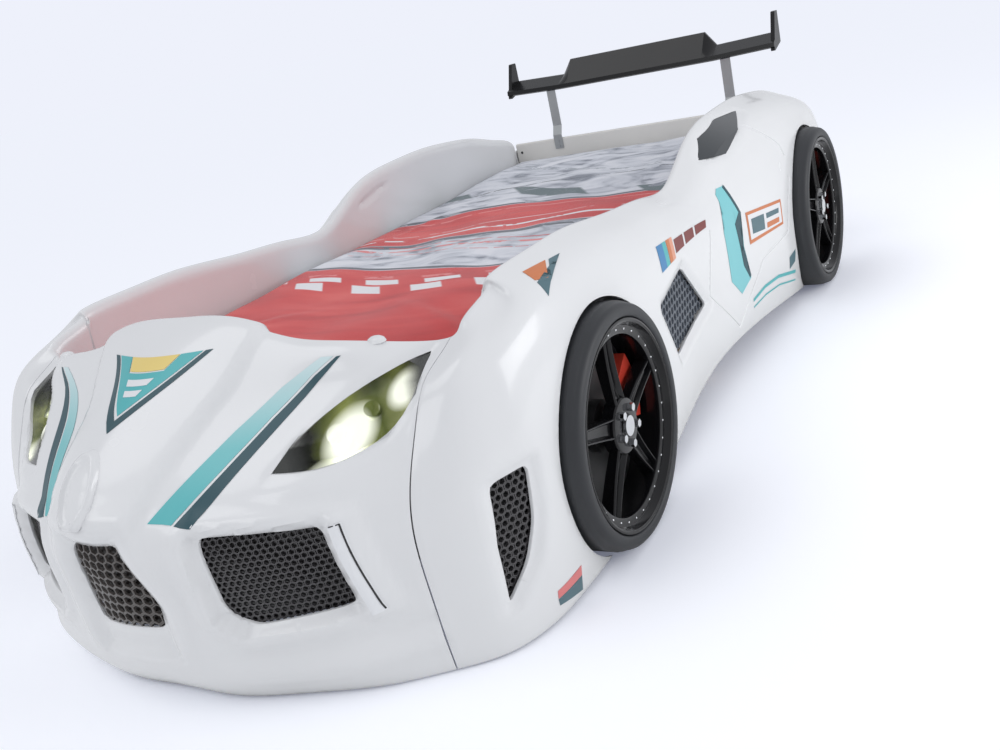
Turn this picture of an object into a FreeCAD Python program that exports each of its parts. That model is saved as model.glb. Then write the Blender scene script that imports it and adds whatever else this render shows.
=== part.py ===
import FreeCAD, Part
import math
import os

os.makedirs("parts", exist_ok=True)
V = FreeCAD.Vector
axisX = V(1, 0, 0)
axisY = V(0, 1, 0)
axisZ = V(0, 0, 1)

# Race-car bed for a child. Millimetres, floor at z = 0, nose toward -Y, the car's left side is +X.

# Mattress, which sets the inside of the bed
mattressWidth = 900.0
mattressLength = 1900.0
mattressThick = 165.0
mattressCrown = 16.0
mattressDrawIn = 10.0
mattressBase = 200.0
mattressPlay = 4.0
coverThick = 2.4
coverPlay = 0.6
coverDrop = 70.0

# Boards of the hidden frame
boardThick = 16.0
boardFoot = 95.0
boardDrop = 4.5
headGap = 9.0
headTop = 421.0
ledgeHeight = 40.0
ledgeWidth = 26.0
slatCount = 12
slatWidth = 70.0
slatThick = 14.0
beamWidth = 45.0
beamHeight = 60.0
legWidth = 60.0

# Moulded body
shellWall = 5.0
skinGap = 0.6
noseLength = 397.0
seamX = 437.0
seamGap = 0.8
archPlay = 9.0
beltHeight = 228.0
beltOut = 103.0
hipOut = 136.0
waistOut = 79.0

# Wheels
wheelRadius = 204.0
tyreDepth = 28.0
wheelWidth = 84.0
wheelBase = 1303.0
frontWheelBack = 208.0
frontFaceOut = 125.0
rearFaceOut = 161.0
hubRadius = 44.0
spokePairs = 5
nutCircle = 31.0
nutCount = 5
rotorRadius = 112.0

# Wing
wingHalf = 444.0
wingReach = 78.0
wingLow = 573.0
wingTopMid = 655.0
wingTopSide = 612.0
wingMidHalf = 225.0
wingPlate = 12.0
finTop = 676.0
bracketX = 292.0
bracketWidth = 30.0
bracketThick = 3.0
bracketFoot = 388.0
screwHead = 10.0

# Places that follow from the sizes above
insideHalf = mattressWidth / 2 + mattressPlay
boardOut = insideHalf + boardThick
overallLength = noseLength + mattressLength + headGap + wingReach
noseY = -overallLength / 2
footY = noseY + noseLength
headY = footY + mattressLength
panelY = headY + headGap
boardFrontY = footY - mattressPlay - boardThick
frontWheelY = footY + frontWheelBack
rearWheelY = frontWheelY + wheelBase
tailY = panelY + 25
slatTop = mattressBase
rimX = boardOut + 4.0


def save(node, shape):
    shape.exportStep("parts/" + node + ".step")


def mirrored(shape):
    return shape.mirror(V(0, 0, 0), axisX)


def savePair(node, shape):
    save(node + "_left", shape)
    save(node + "_right", mirrored(shape))


def block(x0, x1, y0, y1, z0, z1):
    return Part.makeBox(x1 - x0, y1 - y0, z1 - z0, V(x0, y0, z0))


def rod(radius, x0, x1, y, z):
    return Part.makeCylinder(radius, x1 - x0, V(x0, y, z), axisX)


def prism(points, along):
    wire = Part.makePolygon(points + [points[0]])
    return Part.Face(wire).extrude(along)


def roundPrism(points, along, radius):
    body = prism(points, along)
    edges = []
    for edge in body.Edges:
        run = edge.Vertexes[1].Point - edge.Vertexes[0].Point
        if run.cross(along).Length < 1e-6 * along.Length * run.Length:
            edges.append(edge)
    return body.makeFillet(radius, edges)


# Body surface: columns run from the nose round the corner to the tail, rows from the sill to the rim


def noseColumn(x, depth, height):
    return [V(x, noseY + back, up) for back, up in zip(depth, height)]


def flankColumn(belt, rim, sill, lean=0.0):
    # belt = (x, y), rim = (x, y, z); lean moves the upper rows from a full shoulder to a slope
    low = [(0.0, 0.22), (0.22, 0.12), (0.58, 0.02), (1.0, 0.0)]
    high = [(0.34, 0.02 + 0.1 * lean), (0.64, 0.13 + 0.22 * lean),
            (0.87, 0.40 + 0.2 * lean), (1.0, 1.0)]
    inward = V(rim[0] - belt[0], rim[1] - belt[1], 0)
    rows = []
    for rise, tuck in low:
        base = V(belt[0], belt[1], sill + rise * (beltHeight - sill))
        rows.append(base + inward * tuck * (1 - 0.75 * lean))
    for rise, tuck in high:
        base = V(belt[0], belt[1], beltHeight + rise * (rim[2] - beltHeight))
        rows.append(base + inward * tuck)
    return rows


def bodyColumns():
    mid = noseColumn(0, (80, 45, 20, 8, 2, 55, 180, 295), (4, 45, 110, 210, 300, 390, 465, 525))
    inner = noseColumn(112, (80, 50, 34, 32, 34, 100, 200, 295),
                       (4, 45, 114, 215, 300, 378, 445, 520))
    outer = noseColumn(212, (105, 77, 66, 66, 84, 150, 230, 298),
                       (4, 48, 118, 218, 305, 372, 428, 492))
    lamp = noseColumn(322, (143, 121, 119, 122, 142, 196, 275, 312),
                      (4, 50, 120, 220, 308, 380, 434, 476))
    cowl = boardFrontY - 4
    columns = [mid, inner, outer, lamp]
    columns.append(flankColumn((boardOut - 40, noseY + 197), (boardOut - 26, cowl, 452), 4, 1.0))
    columns.append(flankColumn((boardOut + 23, noseY + 237), (boardOut - 4, cowl + 8, 466), 5, 0.7))
    columns.append(flankColumn((boardOut + 68, noseY + 303), (rimX, cowl + 44, 480), 6, 0.35))
    columns.append(flankColumn((boardOut + 94, noseY + 385), (rimX, cowl + 105, 494), 8))
    for back, out, rim, sill in ((-125, beltOut - 1, 505, 10), (0, beltOut + 1, 508, 14),
                                 (135, beltOut - 1, 503, 20)):
        y = frontWheelY + back
        columns.append(flankColumn((boardOut + out, y), (rimX, y, rim), sill))
    for share, out, rim, sill in ((0.25, beltOut - 12, 478, 40), (0.38, waistOut, 458, 56),
                                  (0.487, waistOut, 446, 62), (0.61, waistOut + 15, 506, 60),
                                  (0.77, hipOut - 19, 532, 44)):
        y = frontWheelY + share * wheelBase
        columns.append(flankColumn((boardOut + out, y), (rimX, y, rim), sill))
    for back, out, rim, sill in ((-128, hipOut - 3, 530, 26), (2, hipOut, 518, 16),
                                 (150, hipOut - 7, 496, 16), (290, hipOut - 33, 460, 24)):
        y = rearWheelY + back
        columns.append(flankColumn((boardOut + out, y), (rimX, y, rim), sill))
    columns.append(flankColumn((boardOut + 59, tailY - 38), (rimX, tailY - 40, 424), 40))
    columns.append(flankColumn((boardOut + 9, tailY), (rimX, tailY - 12, 400), 50))
    return columns


halfColumns = bodyColumns()
otherHalf = [[V(-p.x, p.y, p.z) for p in column] for column in reversed(halfColumns[1:])]
columns = otherHalf + halfColumns


def columnNormals():
    normals = []
    last = len(columns) - 1
    for i, column in enumerate(columns):
        line = []
        for j in range(len(column)):
            top = len(column) - 1
            along = columns[min(i + 1, last)][j] - columns[max(i - 1, 0)][j]
            up = column[min(j + 1, top)] - column[max(j - 1, 0)]
            line.append(along.cross(up).normalize())
        normals.append(line)
    return normals


normals = columnNormals()


def skinRows(depth):
    # the rows of the body at a depth below the outer surface, each one smooth curve
    rows = []
    for j in range(len(columns[0])):
        curve = Part.BSplineCurve()
        curve.interpolate([column[j] - line[j] * depth for column, line in zip(columns, normals)])
        rows.append(curve.toShape())
    return rows


def bandSolid(near, far):
    # the part of the body between two depths below the outer surface
    outer = skinRows(near)
    inner = skinRows(far)
    faces = []
    for rows in (outer, inner):
        for lower, upper in zip(rows, rows[1:]):
            faces.append(Part.makeRuledSurface(lower, upper))
    faces.append(Part.makeRuledSurface(outer[0], inner[0]))
    faces.append(Part.makeRuledSurface(outer[-1], inner[-1]))
    for end in (0, -1):
        for j in range(len(outer) - 1):
            sides = []
            for rows in (outer, inner):
                ends = [rows[k].Curve.value(rows[k].ParameterRange[end]) for k in (j, j + 1)]
                sides.append(Part.makeLine(*ends))
            faces.append(Part.makeRuledSurface(*sides))
    shell = Part.makeShell(faces)
    shell.sewShape()
    solid = Part.Solid(Part.Shell(shell.Faces))
    if solid.Volume < 0:
        solid.reverse()
    return solid


shellBand = bandSolid(0, shellWall)
liningBand = bandSolid(shellWall + skinGap, shellWall + skinGap + 2.5)
print("shell band", round(shellBand.Volume / 1000), shellBand.isValid())
print("lining band", round(liningBand.Volume / 1000), liningBand.isValid())


def yzOutline(points, x0, x1):
    return prism([V(x0, y, z) for y, z in points], V(x1 - x0, 0, 0))


def xzOutline(points, y0, y1):
    return prism([V(x, y0, z) for x, z in points], V(0, y1 - y0, 0))


def grown(points, amount):
    # the outline moved outwards by an amount, or inwards where it is negative
    wire = Part.makePolygon([V(a, b, 0) for a, b in points + [points[0]]])
    bigger = wire.makeOffset2D(amount, 2)
    corners = [v.Point for v in bigger.OrderedVertexes]
    return [(p.x, p.y) for p in corners]


# Openings, as outlines seen from the side (y, z) or from the front (x, z)
toFront = frontWheelY
toRear = rearWheelY
sideVent = [(toFront + 279, 304), (toFront + 338, 186), (toFront + 560, 210), (toFront + 452, 326)]
cornerVent = [(toFront - 326, 270), (toFront - 262, 274), (toFront - 272, 190),
              (toFront - 294, 130), (toFront - 334, 78), (toFront - 336, 180)]
quarterWindow = [(toRear - 552, 470), (toRear - 482, 506), (toRear - 360, 522),
                 (toRear - 234, 516), (toRear - 340, 494), (toRear - 465, 460)]
lampOutline = [(257, 352), (282, 388), (330, 418), (390, 440), (422, 444), (428, 408),
               (398, 364), (338, 346)]
noseGrille = [(-46, 298), (46, 298), (72, 190), (66, 152), (-66, 152), (-72, 190)]
outerGrille = [(160, 293), (324, 276), (345, 151), (205, 146), (170, 172)]
daySlot = [(344, 281), (356, 282), (382, 142), (370, 140)]
noseReach = (noseY - 30, noseY + 420)

archRadius = wheelRadius + archPlay
farOut = boardOut + 260
openings = [rod(archRadius, boardOut + 8, farOut, toFront, wheelRadius),
            rod(archRadius, boardOut + 8, farOut, toRear, wheelRadius),
            yzOutline(sideVent, boardOut + 20, farOut),
            yzOutline(cornerVent, boardOut + 20, farOut),
            yzOutline(quarterWindow, boardOut + 8, farOut)]
frontOpenings = [xzOutline(noseGrille, *noseReach)]
for outline in (lampOutline, outerGrille, daySlot):
    cutter = xzOutline(outline, *noseReach)
    frontOpenings += [cutter, mirrored(cutter)]

# Grooves that mark the doors, as lines seen from the side (y, z)
doorLine = [(toFront + 1108, 335), (toFront + 1074, 269), (toFront + 1050, 213),
            (toFront + 881, 201), (toFront + 789, 142), (toFront + 731, 92),
            (toFront + 569, 222), (toFront + 603, 287), (toFront + 640, 345)]
capLine = [(toFront + 985, 492), (toFront + 1046, 453), (toFront + 1102, 416), (toFront + 1114, 385)]
grooveWidth = 5.0
grooveDepth = 1.8


def ribbon(line, width, x0, x1):
    strips = []
    for (a, b), (c, d) in zip(line, line[1:]):
        run = V(c - a, d - b, 0).normalize()
        across = V(-run.y, run.x, 0) * width / 2
        first = V(a, b, 0) - run * width / 4
        second = V(c, d, 0) + run * width / 4
        corners = [first + across, second + across, second - across, first - across]
        strips.append(yzOutline([(p.x, p.y) for p in corners], x0, x1))
    return strips[0].fuse(strips[1:])


# Shells
seamBox = block(-seamX, seamX, noseY - 50, toFront - 100, -50, 700)
wideSeamBox = block(-seamX - seamGap, seamX + seamGap, noseY - 50, toFront - 100, -50, 700)
frontShell = shellBand.common(seamBox).cut(frontOpenings)
save("front_shell", frontShell)
leftSide = block(0, farOut + 50, noseY - 50, tailY + 50, -50, 700)
flank = shellBand.common(leftSide).cut([wideSeamBox] + openings)
grooveBand = bandSolid(-1, grooveDepth)
for line in (doorLine, capLine):
    flank = flank.cut(grooveBand.common(ribbon(line, grooveWidth, boardOut + 20, farOut)))
savePair("flank_shell", flank)

# Panels that close the openings from behind, and those that fill them
playInHole = 0.6
rimOver = 9.0


def honeycomb(across, pitch, low, high, axis, start, length):
    # six-sided rods in staggered rows, which cut the holes of a grille
    cells = []
    row = 0
    b = low[1]
    while b < high[1]:
        a = low[0] + (pitch / 2 if row % 2 else 0)
        while a < high[0]:
            corners = []
            for k in range(6):
                angle = math.radians(60 * k + 30)
                u = a + across / 2 * math.cos(angle)
                w = b + across / 2 * math.sin(angle)
                corners.append(V(start, u, w) if axis is axisX else V(u, start, w))
            cells.append(prism(corners, axis * length))
            a += pitch
        b += pitch * 0.87
        row += 1
    return cells


def grille(outline, axis, start, length, across, pitch):
    shape = yzOutline if axis is axisX else xzOutline
    panel = liningBand.common(shape(grown(outline, rimOver), start, start + length))
    inside = Part.Face(Part.makePolygon([V(a, b, 0) for a, b in grown(outline, -across * 0.62)
                                         + grown(outline, -across * 0.62)[:1]]))
    low = (min(p[0] for p in outline), min(p[1] for p in outline))
    high = (max(p[0] for p in outline), max(p[1] for p in outline))
    cells = []
    for cell in honeycomb(across, pitch, low, high, axis, start, length):
        middle = cell.CenterOfMass
        spot = V(middle.y if axis is axisX else middle.x, middle.z, 0)
        if inside.isInside(spot, 0.01, True):
            cells.append(cell)
    return panel.cut(cells)


savePair("side_vent", grille(sideVent, axisX, boardOut + 20, farOut - boardOut, 24, 30))
savePair("corner_vent", grille(cornerVent, axisX, boardOut + 20, farOut - boardOut, 17, 22))
save("nose_grille", grille(noseGrille, axisY, noseReach[0], 200, 24, 31))
savePair("outer_grille", grille(outerGrille, axisY, noseReach[0], 200, 24, 31))

fillBand = bandSolid(0.8, shellWall - 0.8)
windowFill = fillBand.common(yzOutline(grown(quarterWindow, -playInHole), boardOut + 8, farOut))
savePair("quarter_window", windowFill)
lampReach = (noseY + 40, noseY + 420)
lens = fillBand.common(xzOutline(grown(lampOutline, -playInHole), *lampReach))
savePair("headlamp_lens", lens)
dayLight = fillBand.common(xzOutline(grown(daySlot, -playInHole), noseY, noseY + 300))
savePair("day_light", dayLight)

lampDepth = 34.0
lampWall = 2.5
lampClear = 32.0
behindLamp = block(0, farOut, boardFrontY - lampClear, headY, 0, 700)
outsideLamp = bandSolid(-60, shellWall + skinGap)
lampInner = V(257, noseY + 128, 352)
lampOuter = V(432, noseY + 328, 441)
lampUnder = V(392, noseY + 215, 359)
lampRun = (lampOuter - lampInner).normalize()
lampNormal = (lampUnder - lampInner).cross(lampOuter - lampInner).normalize()
across = lampNormal.cross(lampRun)
lampBack = lampInner - lampNormal * lampDepth


def lampSlab(start, end):
    # the space between two planes parallel to the lamp's flat floor
    corners = []
    for u, w in ((-400, -400), (400, -400), (400, 400), (-400, 400)):
        corners.append(lampBack + lampNormal * start + lampRun * u + across * w)
    return prism(corners, lampNormal * (end - start))


lampFront = lampDepth + 40
bowl = xzOutline(grown(lampOutline, 4), *lampReach).common(lampSlab(0, lampFront))
bowl = bowl.cut([outsideLamp, behindLamp])
hollow = xzOutline(grown(lampOutline, 1), *lampReach).common(lampSlab(lampWall, lampFront + 5))
bowl = bowl.cut(hollow)
savePair("headlamp_bowl", max(bowl.Solids, key=lambda solid: solid.Volume))
lampUnits = []
for along, radius in ((118, 15), (178, 12)):
    foot = lampBack + lampNormal * lampWall + lampRun * along
    lampUnits.append(Part.makeCylinder(radius, 12, foot, lampNormal))
savePair("lamp_unit", Part.makeCompound(lampUnits).cut(behindLamp))

# Boards of the hidden frame
rimLine = [column[-1] for column in halfColumns if column[-1].x > rimX - 1 and
           column[-1].y > boardFrontY]
tops = [V(boardOut, p.y, p.z - boardDrop) for p in rimLine]
crest = Part.BSplineCurve()
crest.interpolate(tops[:-1])
frontTop = V(boardOut, boardFrontY, tops[0].z - 30)
sideEdges = [Part.makeLine(frontTop, tops[0]), crest.toShape()]
corners = [tops[-2], V(boardOut, panelY + boardThick, tops[-2].z - 40),
           V(boardOut, panelY + boardThick, boardFoot), V(boardOut, boardFrontY, boardFoot), frontTop]
for first, second in zip(corners, corners[1:]):
    sideEdges.append(Part.makeLine(first, second))
sideBoard = Part.Face(Part.Wire(Part.__sortEdges__(sideEdges))).extrude(V(-boardThick, 0, 0))
savePair("side_board", sideBoard)
headBoard = block(-insideHalf, insideHalf, panelY, panelY + boardThick, boardFoot, headTop)
topEdges = [e for e in headBoard.Edges if abs(e.BoundBox.ZMin - headTop) < 1e-6 and
            e.BoundBox.XLength > 1]
save("head_board", headBoard.makeFillet(4, topEdges))
footBoard = block(-insideHalf, insideHalf, boardFrontY, boardFrontY + boardThick, 70, 430)
save("foot_board", footBoard)
shelf = block(-240, 240, boardFrontY - 62, boardFrontY, 414, 430)
save("cowl_shelf", shelf)
ledgeTop = slatTop - slatThick
ledge = block(insideHalf - ledgeWidth, insideHalf, footY, panelY, ledgeTop - ledgeHeight, ledgeTop)
savePair("slat_ledge", ledge)
beam = block(-beamWidth / 2, beamWidth / 2, boardFrontY + boardThick, panelY,
             ledgeTop - beamHeight, ledgeTop)
save("centre_beam", beam)
for name, share in (("front", 0.3), ("rear", 0.72)):
    y = footY + share * mattressLength
    leg = block(-legWidth / 2, legWidth / 2, y - legWidth / 2, y + legWidth / 2, 0,
                ledgeTop - beamHeight)
    save("middle_leg_" + name, leg)
slats = []
pitch = (mattressLength - slatWidth - 40) / (slatCount - 1)
for k in range(slatCount):
    y = footY + 20 + k * pitch
    slats.append(block(-insideHalf + 1, insideHalf - 1, y, y + slatWidth, ledgeTop, slatTop))
save("slats", Part.makeCompound(slats))
feet = []
for y in (boardFrontY + boardThick + 45, (toFront + toRear) / 2, panelY - 45):
    feet.append(block(insideHalf - 45, insideHalf, y - 22, y + 22, 0, ledgeTop - ledgeHeight))
savePair("corner_feet", Part.makeCompound(feet))

# Wheels, made for the left side
def revolved(profile, y):
    face = Part.Face(Part.makePolygon(profile + [profile[0]]))
    return face.revolve(V(0, y, wheelRadius), axisX, 360)


def atRadius(x, radius, y):
    return V(x, y, wheelRadius + radius)


def tyre(face, y):
    inner = wheelRadius - tyreDepth + 0.3
    back = face - wheelWidth
    bend = 9.0
    return revolved([atRadius(back, inner, y), atRadius(back, wheelRadius - bend, y),
                     atRadius(back + bend, wheelRadius, y), atRadius(face - bend, wheelRadius, y),
                     atRadius(face, wheelRadius - bend, y), atRadius(face - 2, inner, y)], y)


def spoke(face, y, turn, side):
    # one blade of a pair, from the hub out to the barrel, wider and lower towards the rim
    near = hubRadius - 8
    far = wheelRadius - tyreDepth - 6
    gap = side * 7
    spread = side * 25
    blade = [V(face - 14, gap - 5, near), V(face - 14, gap + 5, near),
             V(face - 8, spread + 6, far), V(face - 8, spread - 6, far)]
    deep = [V(p.x - 22, p.y, p.z) for p in blade]
    loft = Part.makeLoft([Part.makePolygon(blade + blade[:1]), Part.makePolygon(deep + deep[:1])],
                         True, True)
    loft.rotate(V(0, 0, 0), axisX, turn)
    loft.translate(V(0, y, wheelRadius))
    return loft


def rim(face, y):
    back = face - wheelWidth
    outer = wheelRadius - tyreDepth
    barrel = revolved([atRadius(back, outer, y), atRadius(face - 2, outer, y),
                       atRadius(face - 4, outer - 10, y), atRadius(back, outer - 10, y)], y)
    hub = rod(hubRadius, back + 30, face - 14, y, wheelRadius)
    body = barrel.fuse(hub)
    blades = []
    for k in range(spokePairs):
        for side in (-1, 1):
            blades.append(spoke(face, y, 360.0 * k / spokePairs, side))
    return body.fuse(blades).removeSplitter()


def hubCap(face, y):
    parts = [rod(17, face - 14, face - 8, y, wheelRadius)]
    for k in range(nutCount):
        angle = 2 * math.pi * (k + 0.5) / nutCount
        cy = y + nutCircle * math.sin(angle)
        cz = wheelRadius + nutCircle * math.cos(angle)
        corners = []
        for m in range(6):
            corners.append(V(face - 14, cy + 7 * math.cos(m * math.pi / 3),
                             cz + 7 * math.sin(m * math.pi / 3)))
        parts.append(prism(corners, V(9, 0, 0)))
    return Part.makeCompound(parts)


def brakeDisc(face, y):
    back = face - wheelWidth
    plate = rod(wheelRadius - tyreDepth - 11, back + 2, back + 12, y, wheelRadius)
    hub = rod(hubRadius, boardOut, back + 30, y, wheelRadius)
    return plate.fuse(hub).removeSplitter()


def caliper(face, y):
    back = face - wheelWidth + 12
    ring = rod(rotorRadius + 30, back, back + 22, y, wheelRadius)
    ring = ring.cut(rod(rotorRadius - 26, back - 1, back + 23, y, wheelRadius))
    reach = 2 * rotorRadius
    wedge = [V(back - 1, y, wheelRadius)]
    for angle in (-18, 8, 34):
        a = math.radians(angle)
        wedge.append(V(back - 1, y + reach * math.cos(a), wheelRadius + reach * math.sin(a)))
    return ring.common(prism(wedge, V(24, 0, 0)))


for end, out, y in (("front", frontFaceOut, toFront), ("rear", rearFaceOut, toRear)):
    face = boardOut + out
    savePair("tyre_" + end, tyre(face, y))
    savePair("rim_" + end, rim(face, y))
    savePair("wheel_nuts_" + end, hubCap(face, y))
    savePair("brake_disc_" + end, brakeDisc(face, y))
    savePair("caliper_" + end, caliper(face, y))

# Wing on two steel straps
wingFrontY = panelY + 1
wingBackY = panelY + wingReach


def wingSection(x, top, base):
    # tilted plate: low leading edge, high trailing edge
    tall = top - base
    return [V(x, wingFrontY, base + 4), V(x, wingFrontY + 8, base),
            V(x, wingBackY - 18, base + 0.45 * tall), V(x, wingBackY, top - 10),
            V(x, wingBackY - 4, top), V(x, wingBackY - 14, top),
            V(x, wingFrontY + 2, base + 16)]


def wingLoft(stations):
    wires = []
    for x, top, base in stations:
        section = wingSection(x, top, base)
        wires.append(Part.makePolygon(section + section[:1]))
    return Part.makeLoft(wires, True, True)


side = wingMidHalf + 32
blade = wingLoft([(-wingHalf, wingTopSide + 6, wingLow + 6), (-side, wingTopSide, wingLow),
                  (-wingMidHalf, wingTopMid, wingLow), (wingMidHalf, wingTopMid, wingLow),
                  (side, wingTopSide, wingLow), (wingHalf, wingTopSide + 6, wingLow + 6)])
fin = roundPrism([V(wingHalf - wingPlate, wingFrontY, wingLow - 4),
                  V(wingHalf - wingPlate, wingBackY, wingLow + 14),
                  V(wingHalf - wingPlate, wingBackY, finTop),
                  V(wingHalf - wingPlate, wingBackY - 26, finTop)], V(wingPlate, 0, 0), 4)
wing = blade.fuse([fin, mirrored(fin)]).removeSplitter()
save("wing", wing)


def strap(x):
    low = panelY - bracketThick
    half = bracketWidth / 2
    top = wingLow + 20
    path = [(low, bracketFoot), (low, headTop + 12), (low + 14, headTop + 40),
            (panelY + 14, top), (panelY + 14 + bracketThick, top),
            (low + 14 + bracketThick, headTop + 39), (panelY, headTop + 11), (panelY, bracketFoot)]
    return prism([V(x - half, y, z) for y, z in path], V(bracketWidth, 0, 0))


strapLeft = strap(bracketX).cut(blade)
savePair("wing_strap", strapLeft)
screws = []
for x in (-bracketX, bracketX):
    for z in (bracketFoot + 9, bracketFoot + 24):
        face = panelY - bracketThick
        head = [V(x + screwHead / 2 * math.cos(k * math.pi / 3), face,
                  z + screwHead / 2 * math.sin(k * math.pi / 3)) for k in range(6)]
        screws.append(prism(head, V(0, -2.4, 0)))
save("strap_screws", Part.makeCompound(screws))

# Mattress with crown and drawn-in sides, and the cover spread over it


def cushionOutline(half, y0, y1, z, corner):
    bend = corner * (1 - math.sqrt(0.5))
    sides = ((1, 1), (-1, 1), (-1, -1), (1, -1))
    ends = []
    arcs = []
    for sx, sy in sides:
        y = y1 if sy > 0 else y0
        first = V(sx * half, y - sy * corner, z)
        second = V(sx * (half - corner), y, z)
        if sx * sy < 0:
            first, second = second, first
        middle = V(sx * (half - bend), y - sy * bend, z)
        arcs.append(Part.Arc(first, middle, second).toShape())
        ends.append((first, second))
    edges = []
    for k in range(4):
        edges.append(arcs[k])
        edges.append(Part.makeLine(ends[k][1], ends[(k + 1) % 4][0]))
    return Part.Wire(edges)


def cushion(extra, base, levels):
    wires = []
    for draw, rise in levels:
        wires.append(cushionOutline(mattressWidth / 2 - draw + extra, footY + draw - extra,
                                    headY - draw + extra, base + rise, 60 - 0.2 * draw))
    return Part.makeLoft(wires, True, True)


sideTop = mattressThick - mattressCrown
levels = [(3, 0), (3 + mattressDrawIn * 0.4, sideTop / 2), (3, sideTop - 12),
          (14, sideTop), (150, mattressThick)]
mattressZ = slatTop + 0.3
mattress = cushion(0, mattressZ, levels)
save("mattress", mattress)
coverLevels = [(4, sideTop - coverDrop), (3, sideTop - 12), (14, sideTop),
               (150, mattressThick)]
inner = cushion(coverPlay, mattressZ, coverLevels)
inner.translate(V(0, 0, coverPlay))
outer = cushion(coverPlay + coverThick, mattressZ, coverLevels)
outer.translate(V(0, 0, coverPlay + coverThick))
skirt = block(-mattressWidth, mattressWidth, footY - 50, headY + 50, 0,
              mattressZ + sideTop - coverDrop + coverPlay + coverThick)
cover = outer.cut([inner, skirt])
save("bedspread", cover)
print("nodes written", len(os.listdir("parts")))
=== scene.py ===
import math
import bmesh
import bpy
import numpy as np
from mathutils import Euler, Matrix, Vector
from mathutils.bvhtree import BVHTree


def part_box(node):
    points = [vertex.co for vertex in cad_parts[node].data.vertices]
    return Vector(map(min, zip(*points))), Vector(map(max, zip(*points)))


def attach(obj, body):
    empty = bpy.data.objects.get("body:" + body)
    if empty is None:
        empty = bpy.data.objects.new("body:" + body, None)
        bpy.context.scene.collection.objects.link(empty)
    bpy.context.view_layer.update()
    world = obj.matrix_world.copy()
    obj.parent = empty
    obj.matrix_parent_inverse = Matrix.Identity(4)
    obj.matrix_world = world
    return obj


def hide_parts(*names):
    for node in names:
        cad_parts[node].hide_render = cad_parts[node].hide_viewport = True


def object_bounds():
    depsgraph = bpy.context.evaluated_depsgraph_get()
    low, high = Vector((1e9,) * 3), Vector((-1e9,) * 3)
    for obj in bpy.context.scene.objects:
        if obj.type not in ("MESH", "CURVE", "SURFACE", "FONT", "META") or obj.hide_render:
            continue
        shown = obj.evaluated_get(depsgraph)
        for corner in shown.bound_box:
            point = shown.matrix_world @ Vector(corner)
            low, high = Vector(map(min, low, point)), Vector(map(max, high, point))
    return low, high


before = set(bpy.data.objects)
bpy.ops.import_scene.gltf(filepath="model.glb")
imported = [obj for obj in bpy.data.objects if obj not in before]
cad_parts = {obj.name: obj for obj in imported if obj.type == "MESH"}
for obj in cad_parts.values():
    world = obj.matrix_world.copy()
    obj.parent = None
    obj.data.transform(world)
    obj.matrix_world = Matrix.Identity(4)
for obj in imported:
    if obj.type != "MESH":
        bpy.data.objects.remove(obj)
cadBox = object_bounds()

# Race-car bed. Metres, floor at z = 0, nose towards -Y, the car's left side is +X.
print("bed: places from the frame")


def lowOf(node):
    return Vector(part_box(node)[0])


def highOf(node):
    return Vector(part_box(node)[1])


insideHalf = highOf("head_board").x
boardOut = highOf("side_board_left").x
boardFrontY = lowOf("side_board_left").y
panelY = lowOf("head_board").y
noseY = -highOf("wing").y
frontY = (lowOf("tyre_front_left").y + highOf("tyre_front_left").y) / 2
rearY = (lowOf("tyre_rear_left").y + highOf("tyre_rear_left").y) / 2
tailY = panelY + 0.025
wheelZ = (lowOf("tyre_front_left").z + highOf("tyre_front_left").z) / 2

look = {
    "shellWhite": (0.765, 0.77, 0.78), "innerGrey": (0.72, 0.73, 0.77), "panelCream": (0.76, 0.745, 0.71),
    "teal": (0.075, 0.44, 0.46), "darkTeal": (0.012, 0.065, 0.085), "cyan": (0.20, 0.56, 0.60),
    "orange": (0.60, 0.19, 0.07), "salmon": (0.72, 0.33, 0.22), "blue": (0.05, 0.22, 0.46),
    "slate": (0.08, 0.155, 0.185), "yellow": (0.80, 0.62, 0.20), "red": (0.62, 0.045, 0.045),
    "paleRed": (0.72, 0.20, 0.20), "darkRed": (0.20, 0.035, 0.03), "inkGrey": (0.10, 0.115, 0.14),
    "chalk": (0.78, 0.78, 0.80), "lampGreen": (0.50, 0.54, 0.14), "tyre": (0.024, 0.026, 0.030),
    "window": (0.035, 0.040, 0.045), "caliper": (0.56, 0.05, 0.03), "gloss": (0.006, 0.006, 0.007),
    "satin": (0.02, 0.02, 0.021), "brownMesh": (0.085, 0.075, 0.07), "greyMesh": (0.05, 0.047, 0.05),
    "blueMesh": (0.085, 0.10, 0.125), "smoked": (0.035, 0.032, 0.034), "deepBrown": (0.022, 0.018, 0.017),
    "slotWhite": (0.80, 0.81, 0.83), "steel": (0.40, 0.415, 0.42), "chrome": (0.72, 0.73, 0.75),
    "pine": (0.62, 0.42, 0.23), "pineDark": (0.46, 0.29, 0.14), "pinePale": (0.68, 0.48, 0.27),
    "ticking": (0.70, 0.70, 0.72), "tickingDark": (0.64, 0.64, 0.66), "tickingPale": (0.72, 0.72, 0.74),
}
plastic = {"wear": 0.03, "cloud": 3.0, "drift": 11.0, "swing": 0.06, "skinDepth": 0.001}


# materials

def newMaterial(name, color, roughness=0.5, metallic=0.0, coat=0.0, coatRough=0.08, spec=0.5, sheen=0.0):
    material = bpy.data.materials.new(name)
    material.use_nodes = True
    shader = material.node_tree.nodes["Principled BSDF"]
    shader.inputs["Base Color"].default_value = (*color, 1)
    for key, value in (("Roughness", roughness), ("Metallic", metallic), ("Coat Weight", coat),
                       ("Coat Roughness", coatRough), ("Specular IOR Level", spec), ("Sheen Weight", sheen)):
        shader.inputs[key].default_value = value
    return material


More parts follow.
